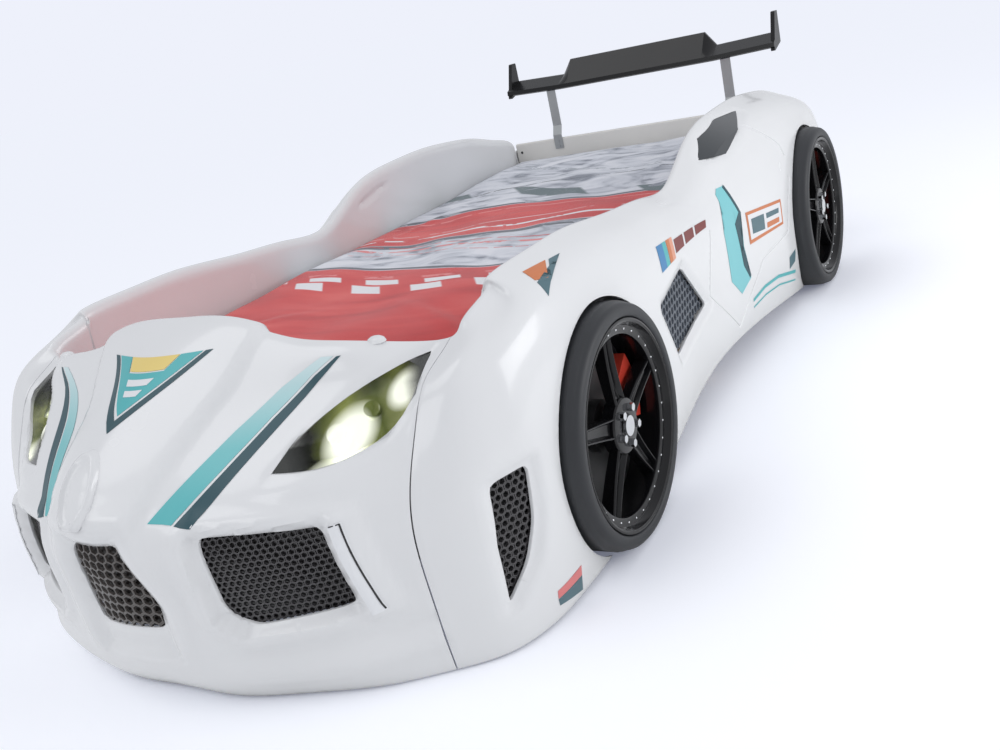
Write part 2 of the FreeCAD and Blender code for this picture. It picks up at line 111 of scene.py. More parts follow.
class Nodes:
    # short hand for wiring one material
    def __init__(self, material):
        self.tree = material.node_tree
        self.shader = self.tree.nodes["Principled BSDF"]
        self.coords = self.add("ShaderNodeTexCoord").outputs["Object"]

    def add(self, kind, **settings):
        node = self.tree.nodes.new(kind)
        for key, value in settings.items():
            setattr(node, key, value)
        return node

    def link(self, source, target):
        self.tree.links.new(source, target)

    def math(self, operation, first, second=0.0, clamp=False):
        node = self.add("ShaderNodeMath", operation=operation, use_clamp=clamp)
        for socket, value in zip(node.inputs, (first, second)):
            if isinstance(value, (int, float)):
                socket.default_value = value
            else:
                self.link(value, socket)
        return node.outputs[0]

    def axes(self, source=None):
        split = self.add("ShaderNodeSeparateXYZ")
        self.link(source or self.coords, split.inputs[0])
        return split.outputs

    def noise(self, scale, detail=4.0, stretch=(1, 1, 1), distortion=0.0, source=None):
        mapping = self.add("ShaderNodeMapping")
        mapping.inputs["Scale"].default_value = stretch
        self.link(source or self.coords, mapping.inputs[0])
        node = self.add("ShaderNodeTexNoise")
        node.inputs["Scale"].default_value = scale
        node.inputs["Detail"].default_value = detail
        node.inputs["Distortion"].default_value = distortion
        self.link(mapping.outputs[0], node.inputs["Vector"])
        return node.outputs["Fac"]

    def ramp(self, factor, stops, mode="LINEAR"):
        node = self.add("ShaderNodeValToRGB")
        node.color_ramp.interpolation = mode
        ramp = node.color_ramp.elements
        while len(ramp) < len(stops):
            ramp.new(0.5)
        for element, (place, color) in zip(ramp, stops):
            element.position = place
            element.color = (*color, 1)
        self.link(factor, node.inputs[0])
        return node.outputs["Color"]

    def mix(self, factor, first, second):
        node = self.add("ShaderNodeMix", data_type="RGBA")
        for socket, value in ((node.inputs[0], factor), (node.inputs[6], first), (node.inputs[7], second)):
            if isinstance(value, (int, float)):
                socket.default_value = value
            elif isinstance(value, tuple):
                socket.default_value = (*value, 1)
            else:
                self.link(value, socket)
        return node.outputs[2]

    def bump(self, height, strength=0.2, distance=0.002):
        node = self.add("ShaderNodeBump")
        node.inputs["Strength"].default_value = strength
        node.inputs["Distance"].default_value = distance
        self.link(height, node.inputs["Height"])
        self.link(node.outputs[0], self.shader.inputs["Normal"])

    def color(self, source):
        self.link(source, self.shader.inputs["Base Color"])

    def rough(self, source):
        self.link(source, self.shader.inputs["Roughness"])


def moulded(name, color, roughness, coat=0.0, grain=90.0, strength=0.03, spec=0.5):
    # moulded plastic: faint colour drift, a little roughness change and a fine skin
    material = newMaterial(name, color, roughness, coat=coat, spec=spec)
    nodes = Nodes(material)
    cloud = nodes.noise(plastic["cloud"], 3.0)
    darker = tuple(c * (1 - plastic["wear"]) for c in color)
    nodes.color(nodes.ramp(cloud, [(0.3, darker), (0.7, color)]))
    drift = nodes.math("MULTIPLY_ADD", nodes.noise(plastic["drift"], 3.0), plastic["swing"])
    drift.node.inputs[2].default_value = roughness - plastic["swing"] / 2
    nodes.rough(drift)
    nodes.bump(nodes.noise(grain, 3.0), strength, plastic["skinDepth"])
    return material


def weave(nodes, across, along, pitch):
    # crossed threads, one wave a pitch
    threads = [nodes.math("SINE", nodes.math("MULTIPLY", value, 2 * math.pi / pitch)) for value in (across, along)]
    return nodes.math("MULTIPLY", *threads)


shellWhite = moulded("shellWhite", look["shellWhite"], 0.26, coat=0.5, grain=60, strength=0.015)
innerGrey = moulded("innerGrey", look["innerGrey"], 0.5)
panelCream = moulded("panelCream", look["panelCream"], 0.45)
films = {}  # thin printed vinyl, one finish for each tone
for tone, roughness in (("teal", 0.35), ("darkTeal", 0.35), ("cyan", 0.35), ("slate", 0.4), ("orange", 0.4),
                        ("salmon", 0.4), ("yellow", 0.4), ("blue", 0.4), ("paleRed", 0.4), ("darkRed", 0.4),
                        ("chalk", 0.4)):
    films[tone] = moulded(tone + "Film", look[tone], roughness, grain=200)
tealFade = newMaterial("tealFade", look["teal"], 0.35)  # the hood stripe pales towards the rim
fade = Nodes(tealFade)
x, y, z = fade.axes()
fade.color(fade.ramp(z, [(0.31, look["teal"]), (0.385, (0.17, 0.52, 0.54)), (0.468, (0.62, 0.75, 0.77))]))
fade.bump(fade.noise(200, 3), 0.03, plastic["skinDepth"])
glossBlack = moulded("glossBlack", look["gloss"], 0.18, coat=0.12, strength=0.01, spec=0.32)
wingBlack = moulded("wingBlack", look["gloss"], 0.24, strength=0.01, spec=0.35)
satinBlack = moulded("satinBlack", look["satin"], 0.45, grain=300)
windowGrey = moulded("windowGrey", look["window"], 0.3, coat=0.3)
rubber = moulded("rubber", look["tyre"], 0.5, grain=500, strength=0.15)
caliperRed = moulded("caliperRed", look["caliper"], 0.35, coat=0.3)
brownMesh = moulded("brownMesh", look["brownMesh"], 0.35, coat=0.3, grain=200)
greyMesh = moulded("greyMesh", look["greyMesh"], 0.3, coat=0.4, grain=200)
blueMesh = moulded("blueMesh", look["blueMesh"], 0.4, grain=200)
glassBlack = moulded("glassBlack", look["smoked"], 0.2, coat=0.5, grain=200)
deepBrown = moulded("deepBrown", look["deepBrown"], 0.35, grain=200)
slotWhite = moulded("slotWhite", look["slotWhite"], 0.25, coat=0.5)

# lamp mirror: green-gold with black tips, and bright spots in the middle that are painted highlights, made to glow
lamp = {"tip": (0.257, 0.352), "run": (0.880, 0.475), "length": 0.192,
        "spots": ((0.334, 0.366, 0.038), (0.392, 0.405, 0.025)), "spotEdge": 2.2, "ripple": 0.10,
        "highlightColor": (0.95, 0.97, 0.86), "glow": (0.85, 0.87, 0.72), "glowPower": 0.8,
        "bands": [(0.0, (0.004, 0.005, 0.004)), (0.16, (0.015, 0.018, 0.006)), (0.24, (0.22, 0.26, 0.03)),
                  (0.40, (0.62, 0.66, 0.24)), (0.58, (0.16, 0.20, 0.03)), (0.74, (0.60, 0.63, 0.26)),
                  (0.86, (0.12, 0.14, 0.03)), (0.94, (0.008, 0.009, 0.006))],
        "cover": [(0.10, (0.97, 0.97, 0.97)), (0.24, (0.10, 0.10, 0.10)), (0.84, (0.10, 0.10, 0.10)),
                  (0.97, (0.97, 0.97, 0.97))]}


def lampShare(nodes):
    # distance from the car's middle, height, and share of the way from the lamp's inner tip to its outer end
    x, y, z = nodes.axes()
    wide = nodes.math("ABSOLUTE", x)
    steps = [nodes.math("MULTIPLY", nodes.math("SUBTRACT", value, start), run)
             for value, start, run in zip((wide, z), lamp["tip"], lamp["run"])]
    return wide, z, nodes.math("DIVIDE", nodes.math("ADD", *steps), lamp["length"])


lampMirror = newMaterial("lampMirror", look["lampGreen"], 0.22, metallic=0.55)
mirror = Nodes(lampMirror)
wide, z, share = lampShare(mirror)
ripple = mirror.math("MULTIPLY", mirror.math("SUBTRACT", mirror.noise(55, 3), 0.5), lamp["ripple"])
base = mirror.ramp(mirror.math("ADD", share, ripple), lamp["bands"])
glow = None
# the spots are painted highlights on the reflector: near-white colour where each spot lies
for spotX, spotZ, radius in lamp["spots"]:
    squares = [mirror.math("POWER", mirror.math("SUBTRACT", value, spot), 2.0)
               for value, spot in ((wide, spotX), (z, spotZ))]
    away = mirror.math("DIVIDE", mirror.math("SQRT", mirror.math("ADD", *squares)), radius)
    spot = mirror.math("MULTIPLY", mirror.math("SUBTRACT", 1.0, away, clamp=True), lamp["spotEdge"], clamp=True)
    glow = spot if glow is None else mirror.math("MAXIMUM", glow, spot)
mirror.color(mirror.mix(glow, base, lamp["highlightColor"]))
# the same painted highlight spots also glow, through the emission
mirror.link(mirror.mix(glow, (0.0, 0.0, 0.0), lamp["glow"]), mirror.shader.inputs["Emission Color"])
mirror.shader.inputs["Emission Strength"].default_value = lamp["glowPower"]
mirror.bump(mirror.noise(90, 3), 0.25, 0.002)
lampLens = newMaterial("lampLens", (0.02, 0.022, 0.018), 0.03, coat=1.0, coatRough=0.02)
lens = Nodes(lampLens)
lens.link(lens.ramp(lampShare(lens)[2], lamp["cover"]), lens.shader.inputs["Alpha"])
lens.bump(lens.noise(20, 2), 0.02, 0.001)
steel = newMaterial("strapSteel", look["steel"], 0.42, 0.75)
brush = Nodes(steel)
brush.bump(brush.noise(120, 3, (1, 1, 0.05)), 0.08)
chrome = newMaterial("chromeNut", look["chrome"], 0.15, 1.0)
shine = Nodes(chrome)
shine.bump(shine.noise(400, 2), 0.02)
timber = newMaterial("pineSlat", look["pine"], 0.6)
grain = Nodes(timber)
grain.color(grain.ramp(grain.noise(14, 6, (0.12, 1.6, 1.6), 0.6), [(0.3, look["pineDark"]), (0.7, look["pinePale"])]))
grain.bump(grain.noise(40, 5, (0.1, 1, 1)), 0.12)

mattressCloth = newMaterial("mattressCloth", look["ticking"], 0.85, sheen=0.2)
cloth = Nodes(mattressCloth)
cloth.color(cloth.ramp(cloth.noise(30, 4), [(0.3, look["tickingDark"]), (0.7, look["tickingPale"])]))
cloth.bump(weave(cloth, *cloth.axes()[:2], 0.0022), 0.25, 0.0006)

# the cover's print, read from its own flat map in metres: u across, v from foot (-) to head (+)
# a line is (from, to, tone); a ground is [(share, color), ...]
coverPrint = {
    "paper": [(0.34, (0.20, 0.22, 0.27)), (0.42, (0.44, 0.46, 0.52)), (0.52, (0.60, 0.62, 0.68)),
              (0.66, (0.72, 0.73, 0.78))],
    "redGround": [(0.34, (0.50, 0.030, 0.032)), (0.50, look["red"]), (0.68, (0.70, 0.085, 0.075))],
    "front": -0.335, "frontLine": 0.017, "band": (-0.055, 0.215),
    "bandLines": ((-0.085, -0.055, look["inkGrey"]), (0.215, 0.235, look["inkGrey"]), (-0.012, 0.004, look["chalk"]),
                  (0.045, 0.052, look["chalk"]), (0.110, 0.114, look["inkGrey"]), (0.170, 0.182, look["paleRed"])),
    "frontLines": ((-0.130, -0.122, look["red"]), (-0.165, -0.150, look["paleRed"]), (-0.200, -0.194, look["red"])),
    "barBeat": (6.4, 4.4), "barRows": ((-0.488, -0.440, 0.10, 0.62), (-0.434, -0.404, 0.34, 0.94)),
    "barReach": (-0.38, 0.30), "bladeBeat": (3.0, 2.2), "blade": (0.300, 0.372, 0.35, 0.93),
    "bladeTone": (0.105, 0.15, 0.165), "strokeTone": (0.30, 0.33, 0.37), "thread": 0.0016}
coverCloth = newMaterial("coverCloth", look["red"], 0.78, spec=0.25, sheen=0.25)
coverCloth.node_tree.nodes["Principled BSDF"].inputs["Sheen Roughness"].default_value = 0.5
ink = Nodes(coverCloth)
flat = ink.add("ShaderNodeUVMap", uv_map="flat").outputs[0]
u, v = ink.axes(flat)[:2]
sketch = ink.noise(6.5, 8.0, (0.9, 1.9, 1), 1.6, flat)
fine = ink.noise(30.0, 6.0, (0.8, 1.8, 1), 1.2, flat)
sweep = ink.noise(1.6, 2.0, (1.0, 1.4, 1), 0.3, flat)


def shifted(amount, by=0.0):
    # v, moved by slow sweeps, so that no edge runs straight
    return ink.math("ADD", ink.math("ADD", v, ink.math("MULTIPLY", u, by)),
                    ink.math("MULTIPLY", ink.math("SUBTRACT", sweep, 0.5), amount))


def between(value, low, high, soft=0.004):
    # 1 from low to high, with a soft edge
    first = ink.math("DIVIDE", ink.math("SUBTRACT", value, low), soft, clamp=True)
    second = ink.math("DIVIDE", ink.math("SUBTRACT", high, value), soft, clamp=True)
    return ink.math("MULTIPLY", first, second)


def both(first, second):
    return ink.math("MULTIPLY", first, second)


def broken(mask, pattern, share):
    # the mask where a noise is strong enough, like ink on rough cloth
    return both(mask, ink.math("GREATER_THAN", pattern, share))


def beatOf(counts):
    # counts along u and v, as a saw from 0 to 1
    return ink.math("FRACT", ink.math("ADD", *[ink.math("MULTIPLY", value, count)
                                               for value, count in zip((u, v), counts)]))


wave = shifted(0.16, 0.10)
band = shifted(0.22, -0.08)
redCloth = ink.ramp(ink.noise(5.0, 5.0, (0.6, 2.4, 1), 0.4, flat), coverPrint["redGround"])
frontEnd = coverPrint["front"]
color = ink.mix(between(wave, -2.0, frontEnd), ink.ramp(sketch, coverPrint["paper"]), redCloth)
color = ink.mix(between(wave, frontEnd, frontEnd + coverPrint["frontLine"], 0.003), color, look["inkGrey"])
color = ink.mix(between(band, *coverPrint["band"]), color, redCloth)
for low, high, tone in coverPrint["bandLines"]:
    color = ink.mix(broken(between(band, low, high, 0.003), sketch, 0.42), color, tone)
for low, high, tone in coverPrint["frontLines"]:
    color = ink.mix(broken(between(wave, low, high, 0.003), fine, 0.47), color, tone)
beat = beatOf(coverPrint["barBeat"])
rows = [both(between(wave, low, high, 0.003), between(beat, first, last, 0.03))
        for low, high, first, last in coverPrint["barRows"]]
bars = both(ink.math("MAXIMUM", *rows), between(u, *coverPrint["barReach"], 0.01))
color = ink.mix(bars, color, look["chalk"])
underline = both(between(wave, -0.398, -0.380, 0.003), between(beat, 0.30, 0.86, 0.04))
color = ink.mix(broken(underline, fine, 0.44), color, look["paleRed"])
low, high, first, last = coverPrint["blade"]
blade = both(between(shifted(0.30, 0.25), low, high), between(beatOf(coverPrint["bladeBeat"]), first, last, 0.03))
color = ink.mix(broken(blade, sketch, 0.40), color, coverPrint["bladeTone"])
color = ink.mix(broken(between(shifted(0.34, -0.22), 0.455, 0.470), fine, 0.46), color, look["inkGrey"])
color = ink.mix(broken(between(shifted(0.40, 0.30), 0.610, 0.640), fine, 0.50), color, coverPrint["strokeTone"])
ink.color(color)
creases = ink.math("MULTIPLY", ink.noise(9.0, 5.0, (1.0, 1.6, 1), 1.2, flat), 6.0)
ink.bump(ink.math("ADD", creases, weave(ink, u, v, coverPrint["thread"])), 0.16, 0.0012)

# mesh helpers

def linked(name, data):
    piece = bpy.data.objects.new(name, data)
    bpy.context.scene.collection.objects.link(piece)
    return piece


def meshObject(name, vertices, faces, material, smooth=True):
    mesh = bpy.data.meshes.new(name)
    mesh.from_pydata([tuple(v) for v in vertices], [], faces)
    mesh.update()
    if smooth:
        mesh.shade_smooth()
    if material:
        mesh.materials.append(material)
    return linked(name, mesh)


def fromShape(name, shape, materials):
    # a finished bmesh made an object
    mesh = bpy.data.meshes.new(name)
    shape.to_mesh(mesh)
    shape.free()
    for material in materials:
        mesh.materials.append(material)
    return linked(name, mesh)


def applied(piece):
    # the piece with its modifiers made real
    graph = bpy.context.evaluated_depsgraph_get()
    mesh = bpy.data.meshes.new_from_object(piece.evaluated_get(graph))
    piece.modifiers.clear()
    old = piece.data
    piece.data = mesh
    bpy.data.meshes.remove(old)
    return piece


def sharpen(piece, angle=35):
    piece.data.shade_smooth()
    piece.data.set_sharp_from_angle(angle=math.radians(angle))
    return piece


def bevelled(piece, width, segments=2, angle=35):
    bevel = piece.modifiers.new("edge", "BEVEL")
    bevel.width = width
    bevel.segments = segments
    bevel.limit_method = "ANGLE"
    bevel.angle_limit = math.radians(angle)
    return applied(piece)


def walled(piece, thickness, offset):
    # a skin given its thickness, inwards (-1) or outwards (1)
    wall = piece.modifiers.new("wall", "SOLIDIFY")
    wall.thickness = thickness
    wall.offset = offset
    return applied(piece)


def prismMesh(name, outline, axis, start, end, material=None):
    # an outline extruded along x (axis 0) or y (axis 1)
    vertices = []
    for depth in (start, end):
        for a, b in outline:
            vertices.append((depth, a, b) if axis == 0 else (a, depth, b))
    count = len(outline)
    faces = [list(range(count))[::-1], list(range(count, 2 * count))]
    for k in range(count):
        n = (k + 1) % count
        faces.append([k, n, n + count, k + count])
    return fixNormals(meshObject(name, vertices, faces, material, smooth=False))


def fixNormals(piece):
    # doubles merged and every face turned outwards
    shape = bmesh.new()
    shape.from_mesh(piece.data)
    bmesh.ops.remove_doubles(shape, verts=shape.verts, dist=1e-6)
    bmesh.ops.recalc_face_normals(shape, faces=shape.faces)
    shape.to_mesh(piece.data)
    shape.free()
    return piece


def bandFaces(rings, count, closed=False):
    # the quads between neighbouring rings of count points each
    faces = []
    for k in range(rings if closed else rings - 1):
        n = (k + 1) % rings
        for j in range(count):
            m = (j + 1) % count
            faces.append([k * count + j, n * count + j, n * count + m, k * count + m])
    return faces


def endFaces(rings, count):
    # the two caps of such a tube
    start = (rings - 1) * count
    return [list(range(count))[::-1], list(range(start, start + count))]


def turned(name, profile, center, material, steps=96, angle=35):
    # profile of (x, radius) turned about the wheel's axis
    vertices = []
    for k in range(steps):
        turn = 2 * math.pi * k / steps
        for x, radius in profile:
            vertices.append((x, center[0] + radius * math.sin(turn), center[1] + radius * math.cos(turn)))
    piece = meshObject(name, vertices, bandFaces(steps, len(profile), closed=True), material)
    return sharpen(fixNormals(piece), angle)


def joined(name, pieces):
    # several objects made one, keeping their materials
    shape = bmesh.new()
    materials = []
    for piece in pieces:
        slots = []
        for material in piece.data.materials:
            if material not in materials:
                materials.append(material)
            slots.append(materials.index(material))
        start = len(shape.faces)
        shape.from_mesh(piece.data)
        shape.faces.ensure_lookup_table()
        for face in shape.faces[start:]:
            face.material_index = slots[min(face.material_index, len(slots) - 1)] if slots else 0
        bpy.data.objects.remove(piece)
    return fromShape(name, shape, materials)


def mirroredCopy(piece, name):
    mesh = piece.data.copy()
    mesh.name = name
    shape = bmesh.new()
    shape.from_mesh(mesh)
    for vertex in shape.verts:
        vertex.co.x = -vertex.co.x
    bmesh.ops.reverse_faces(shape, faces=shape.faces)
    shape.to_mesh(mesh)
    shape.free()
    return linked(name, mesh)


def place(piece, body, slot, *nodes):
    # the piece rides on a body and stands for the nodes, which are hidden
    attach(piece, body)
    if nodes:
        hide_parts(*nodes)


# body surface, from the same stations as the moulds
print("bed: body surface")
body = {"belt": 0.228, "beltOut": 0.103, "hipOut": 0.136, "waistOut": 0.079, "wall": 0.0046,
        "wheelBase": rearY - frontY, "step": 0.008, "rimX": boardOut + 0.004, "grooveRadius": 0.0024,
        "grooveSink": 0.0006, "seamGap": 0.0008, "edge": 0.0012, "archGap": 0.008, "cutInside": 0.008,
        "ventInside": 0.02, "cutOutside": 0.25, "flangeWidth": 0.0196, "insideFoot": 0.11}
# (distance behind the nose's plane, height) up the nose, in millimetres, at each x
noseLines = ((0, (80, 45, 20, 8, 2, 55, 180, 295), (4, 45, 110, 210, 300, 390, 465, 525)),
             (0.112, (80, 50, 34, 32, 34, 100, 200, 295), (4, 45, 114, 215, 300, 378, 445, 520)),
             (0.212, (105, 77, 66, 66, 84, 150, 230, 298), (4, 48, 118, 218, 305, 372, 428, 492)),
             (0.322, (143, 121, 119, 122, 142, 196, 275, 312), (4, 50, 120, 220, 308, 380, 434, 476)))
flankLows = ((0.0, 0.22), (0.22, 0.12), (0.58, 0.02), (1.0, 0.0))  # (rise, tuck) from sill to belt
flankHighs = ((0.34, 0.02, 0.1), (0.64, 0.13, 0.22), (0.87, 0.40, 0.2), (1.0, 1.0, 0.0))  # the same to the rim


def noseColumn(x, depth, height):
    rows = [Vector((x, noseY + back / 1000, up / 1000)) for back, up in zip(depth, height)]
    rim = rows[-1]
    return rows + [rim + Vector((0, back, drop))
                   for back, drop in ((0.010, 0.002), (0.018, -0.006), (0.020, -0.03), (0.020, -0.07))]


def flankColumn(belt, rim, sill, lean=0.0, wallFoot=body["insideFoot"], over=None):
    # sill, belt and rim, then over the rim by a flange and down inside to wallFoot
    inward = Vector((rim[0] - belt[0], rim[1] - belt[1], 0))
    rows = []
    for rise, tuck in flankLows:
        base = Vector((belt[0], belt[1], sill + rise * (body["belt"] - sill)))
        rows.append(base + inward * tuck * (1 - 0.75 * lean))
    for rise, tuck, more in flankHighs:
        base = Vector((belt[0], belt[1], body["belt"] + rise * (rim[2] - body["belt"])))
        rows.append(base + inward * (tuck + more * lean))
    over = Vector(over) if over else inward.normalized()
    top, flange = rows[-1], body["flangeWidth"]
    rows.append(top + over * 0.010 + Vector((0, 0, 0.003)))
    rows.append(top + over * (flange - 0.0004) + Vector((0, 0, -0.006)))
    rows.append(top + over * flange + Vector((0, 0, -0.03)))
    rows.append(Vector((top.x, top.y, wallFoot)) + over * flange)
    return rows


def bodyColumns():
    # from the middle of the nose, round the left front corner and back to the tail
    found = [noseColumn(*line) for line in noseLines]
    cowl, rimX = boardFrontY - 0.004, body["rimX"]
    corner = (((-0.040, 0.197), (boardOut - 0.026, cowl, 0.452), 0.004, 1.0, 0.382, None),
              ((0.023, 0.237), (boardOut - 0.004, cowl + 0.008, 0.466), 0.005, 0.7, 0.345, (-0.707, 0.707, 0)),
              ((0.068, 0.303), (rimX, cowl + 0.044, 0.480), 0.006, 0.35, 0.28, (-1, 0, 0)),
              ((0.094, 0.385), (rimX, cowl + 0.105, 0.494), 0.008, 0.0, body["insideFoot"], (-1, 0, 0)))
    for (out, back), rim, sill, lean, foot, over in corner:
        found.append(flankColumn((boardOut + out, noseY + back), rim, sill, lean, foot, over))
    beltOut, waistOut, hipOut, base = (body[key] for key in ("beltOut", "waistOut", "hipOut", "wheelBase"))
    stations = [(frontY - 0.125, beltOut - 0.001, 0.505, 0.010), (frontY, beltOut + 0.001, 0.508, 0.014),
                (frontY + 0.135, beltOut - 0.001, 0.503, 0.020),
                (frontY + 0.25 * base, beltOut - 0.012, 0.478, 0.040),
                (frontY + 0.38 * base, waistOut, 0.458, 0.056), (frontY + 0.487 * base, waistOut, 0.446, 0.062),
                (frontY + 0.61 * base, waistOut + 0.015, 0.506, 0.060),
                (frontY + 0.77 * base, hipOut - 0.019, 0.532, 0.044), (rearY - 0.128, hipOut - 0.003, 0.530, 0.026),
                (rearY + 0.002, hipOut, 0.518, 0.016), (rearY + 0.150, hipOut - 0.007, 0.496, 0.016),
                (rearY + 0.290, hipOut - 0.033, 0.460, 0.024)]
    for y, out, rim, sill in stations:
        found.append(flankColumn((boardOut + out, y), (rimX, y, rim), sill))
    tail = (((boardOut + 0.059, tailY - 0.038), (rimX, tailY - 0.040, 0.424), 0.040),
            ((boardOut + 0.009, tailY), (rimX, tailY - 0.012, 0.400), 0.050),
            ((insideHalf + 0.004, tailY), (insideHalf + 0.004, tailY - 0.010, 0.398), 0.052))
    return found + [flankColumn(*column) for column in tail]


def naturalSpline(knots, values, samples):
    # natural cubic through values at knots, along the first axis
    count = len(knots)
    gap = np.diff(knots)
    matrix = np.eye(count)
    right = np.zeros_like(values)
    for k in range(1, count - 1):
        matrix[k, k - 1:k + 2] = gap[k - 1], 2 * (gap[k - 1] + gap[k]), gap[k]
        right[k] = 6 * ((values[k + 1] - values[k]) / gap[k] - (values[k] - values[k - 1]) / gap[k - 1])
    bend = np.linalg.solve(matrix, right.reshape(count, -1)).reshape(values.shape)
    spot = np.clip(np.searchsorted(knots, samples, side="right") - 1, 0, count - 2)
    shape = (-1,) + (1,) * (values.ndim - 1)
    h = gap[spot].reshape(shape)
    b = (samples - knots[spot]).reshape(shape)
    a = h - b
    first, second = values[spot], values[spot + 1]
    return ((bend[spot] * a ** 3 + bend[spot + 1] * b ** 3) / (6 * h)
            + (first / h - bend[spot] * h / 6) * a + (second / h - bend[spot + 1] * h / 6) * b)


halfColumns = np.array([[tuple(p) for p in column] for column in bodyColumns()])
mirrorHalf = halfColumns[:0:-1] * np.array([-1, 1, 1])
allColumns = np.concatenate([mirrorHalf, halfColumns])
middle = len(mirrorHalf)
seamColumn = 4  # where the front and the flank part


def chordKnots(grid):
    # mean distance travelled along the first axis
    steps = np.linalg.norm(np.diff(grid, axis=0), axis=2).mean(axis=1)
    return np.concatenate([[0], np.cumsum(steps)])


alongKnots = chordKnots(allColumns)
upKnots = chordKnots(allColumns.transpose(1, 0, 2))


def samplesBetween(knots, first, last, step, least=2):
    # even samples of about one step inside each span of the knots
    found = []
    for k in range(first, last):
        count = max(least, int(round((knots[k + 1] - knots[k]) / step)))
        found += list(np.linspace(knots[k], knots[k + 1], count, endpoint=False))
    return np.array(found + [knots[last]])


def skinGrid(first, last, step, trimStart=0.0, trimEnd=0.0):
    along = samplesBetween(alongKnots, first, last, step)
    along[0] += trimStart
    along[-1] -= trimEnd
    up = samplesBetween(upKnots, 0, len(upKnots) - 1, step, 4)
    rows = naturalSpline(alongKnots, allColumns, along)
    return naturalSpline(upKnots, rows.transpose(1, 0, 2), up).transpose(1, 0, 2)


def gridNormals(grid):
    along = np.gradient(grid, axis=0)
    up = np.gradient(grid, axis=1)
    normal = np.cross(along, up)
    return normal / np.maximum(np.linalg.norm(normal, axis=2, keepdims=True), 1e-9)


def outlineDistance(points, outline):
    # distance to a closed outline, negative inside it
    corners = np.array(outline)
    best = np.full(points.shape[:-1], 1e9)
    inside = np.zeros(points.shape[:-1], bool)
    for p, q in zip(corners, np.roll(corners, -1, axis=0)):
        run = q - p
        t = np.clip(((points - p) @ run) / (run @ run), 0, 1)
        best = np.minimum(best, np.linalg.norm(points - (p + t[..., None] * run), axis=-1))
        crosses = (p[1] > points[..., 1]) != (q[1] > points[..., 1])
        lift = q[1] - p[1] if abs(q[1] - p[1]) > 1e-9 else 1e-9
        at = p[0] + (points[..., 1] - p[1]) * run[0] / lift
        inside ^= crosses & (points[..., 0] < at)
    return np.where(inside, -best, best)


def smooth(value, start, end):
    # 0 before start, 1 after end, with an even slope between
    t = np.clip((value - start) / (end - start), 0, 1)
    return t * t * (3 - 2 * t)


def scaled(points, start=0.0):
    # millimetres to metres, the first number counted from start
    return [(start + a / 1000, b / 1000) for a, b in points]


# outlines in millimetres: from the side (back of the wheel's centre, height), or from the front (x, height)
sideVent = scaled([(279, 304), (338, 186), (560, 210), (452, 326)], frontY)
cornerVent = scaled([(-326, 270), (-262, 274), (-272, 190), (-294, 130), (-334, 78), (-336, 180)], frontY)
quarterWindow = scaled([(-552, 470), (-482, 506), (-360, 522), (-234, 516), (-340, 494), (-465, 460)], rearY)
lampOutline = scaled([(257, 352), (282, 388), (330, 418), (390, 440), (422, 444), (428, 408), (398, 364), (338, 346)])
noseGrille = scaled([(-46, 298), (46, 298), (72, 190), (66, 152), (-66, 152), (-72, 190)])
outerGrille = scaled([(160, 293), (324, 276), (345, 151), (205, 146), (170, 172)])
daySlot = scaled([(344, 281), (356, 282), (382, 142), (370, 140)])
noseScoop = scaled([(-54, 312), (54, 312), (84, 190), (80, 104), (-80, 104), (-84, 190)])
hoodEdge = {"height": (0.300, 0.349, 0.391, 0.428, 0.453, 0.500),
            "half": (0.062, 0.089, 0.106, 0.124, 0.142, 0.160), "rise": 0.010}
doorLine = scaled([(521, 335), (487, 269), (463, 213), (294, 201), (202, 142), (144, 92), (-18, 222), (16, 287),
                   (53, 345)])
capLine = scaled([(398, 492), (459, 453), (515, 416), (527, 385)])


def rounded(outline, reach, keep=()):
    # corners softened by up to reach along each edge; those in keep stay sharp
    points = [Vector(p) for p in outline]
    result = []
    for k, p in enumerate(points):
        before, after = points[k - 1], points[(k + 1) % len(points)]
        if k in keep:
            result.append(tuple(p))
            continue
        first = p + (before - p) * min(0.48, reach / (before - p).length)
        second = p + (after - p) * min(0.48, reach / (after - p).length)
        for t in (0, 0.25, 0.5, 0.75, 1):
            result.append(tuple(first * (1 - t) ** 2 + p * 2 * t * (1 - t) + second * t ** 2))
    return result


lampHole = rounded(lampOutline, 0.05, (0, 4))
outerHole = rounded(outerGrille, 0.018)
noseHole = rounded(noseGrille, 0.012)
sideHole = rounded(sideVent, 0.014)
cornerHole = rounded(cornerVent, 0.016)
windowHole = rounded(quarterWindow, 0.02)


relief = {"lampSink": 0.004, "outerLip": 0.006, "outerSink": 0.013, "scoopLip": 0.005, "scoopSink": 0.012,
          "noseSink": 0.006, "slotRise": 0.008, "chinRise": 0.004, "chinSink": 0.003, "ventSink": 0.010,
          "windowSink": 0.005}


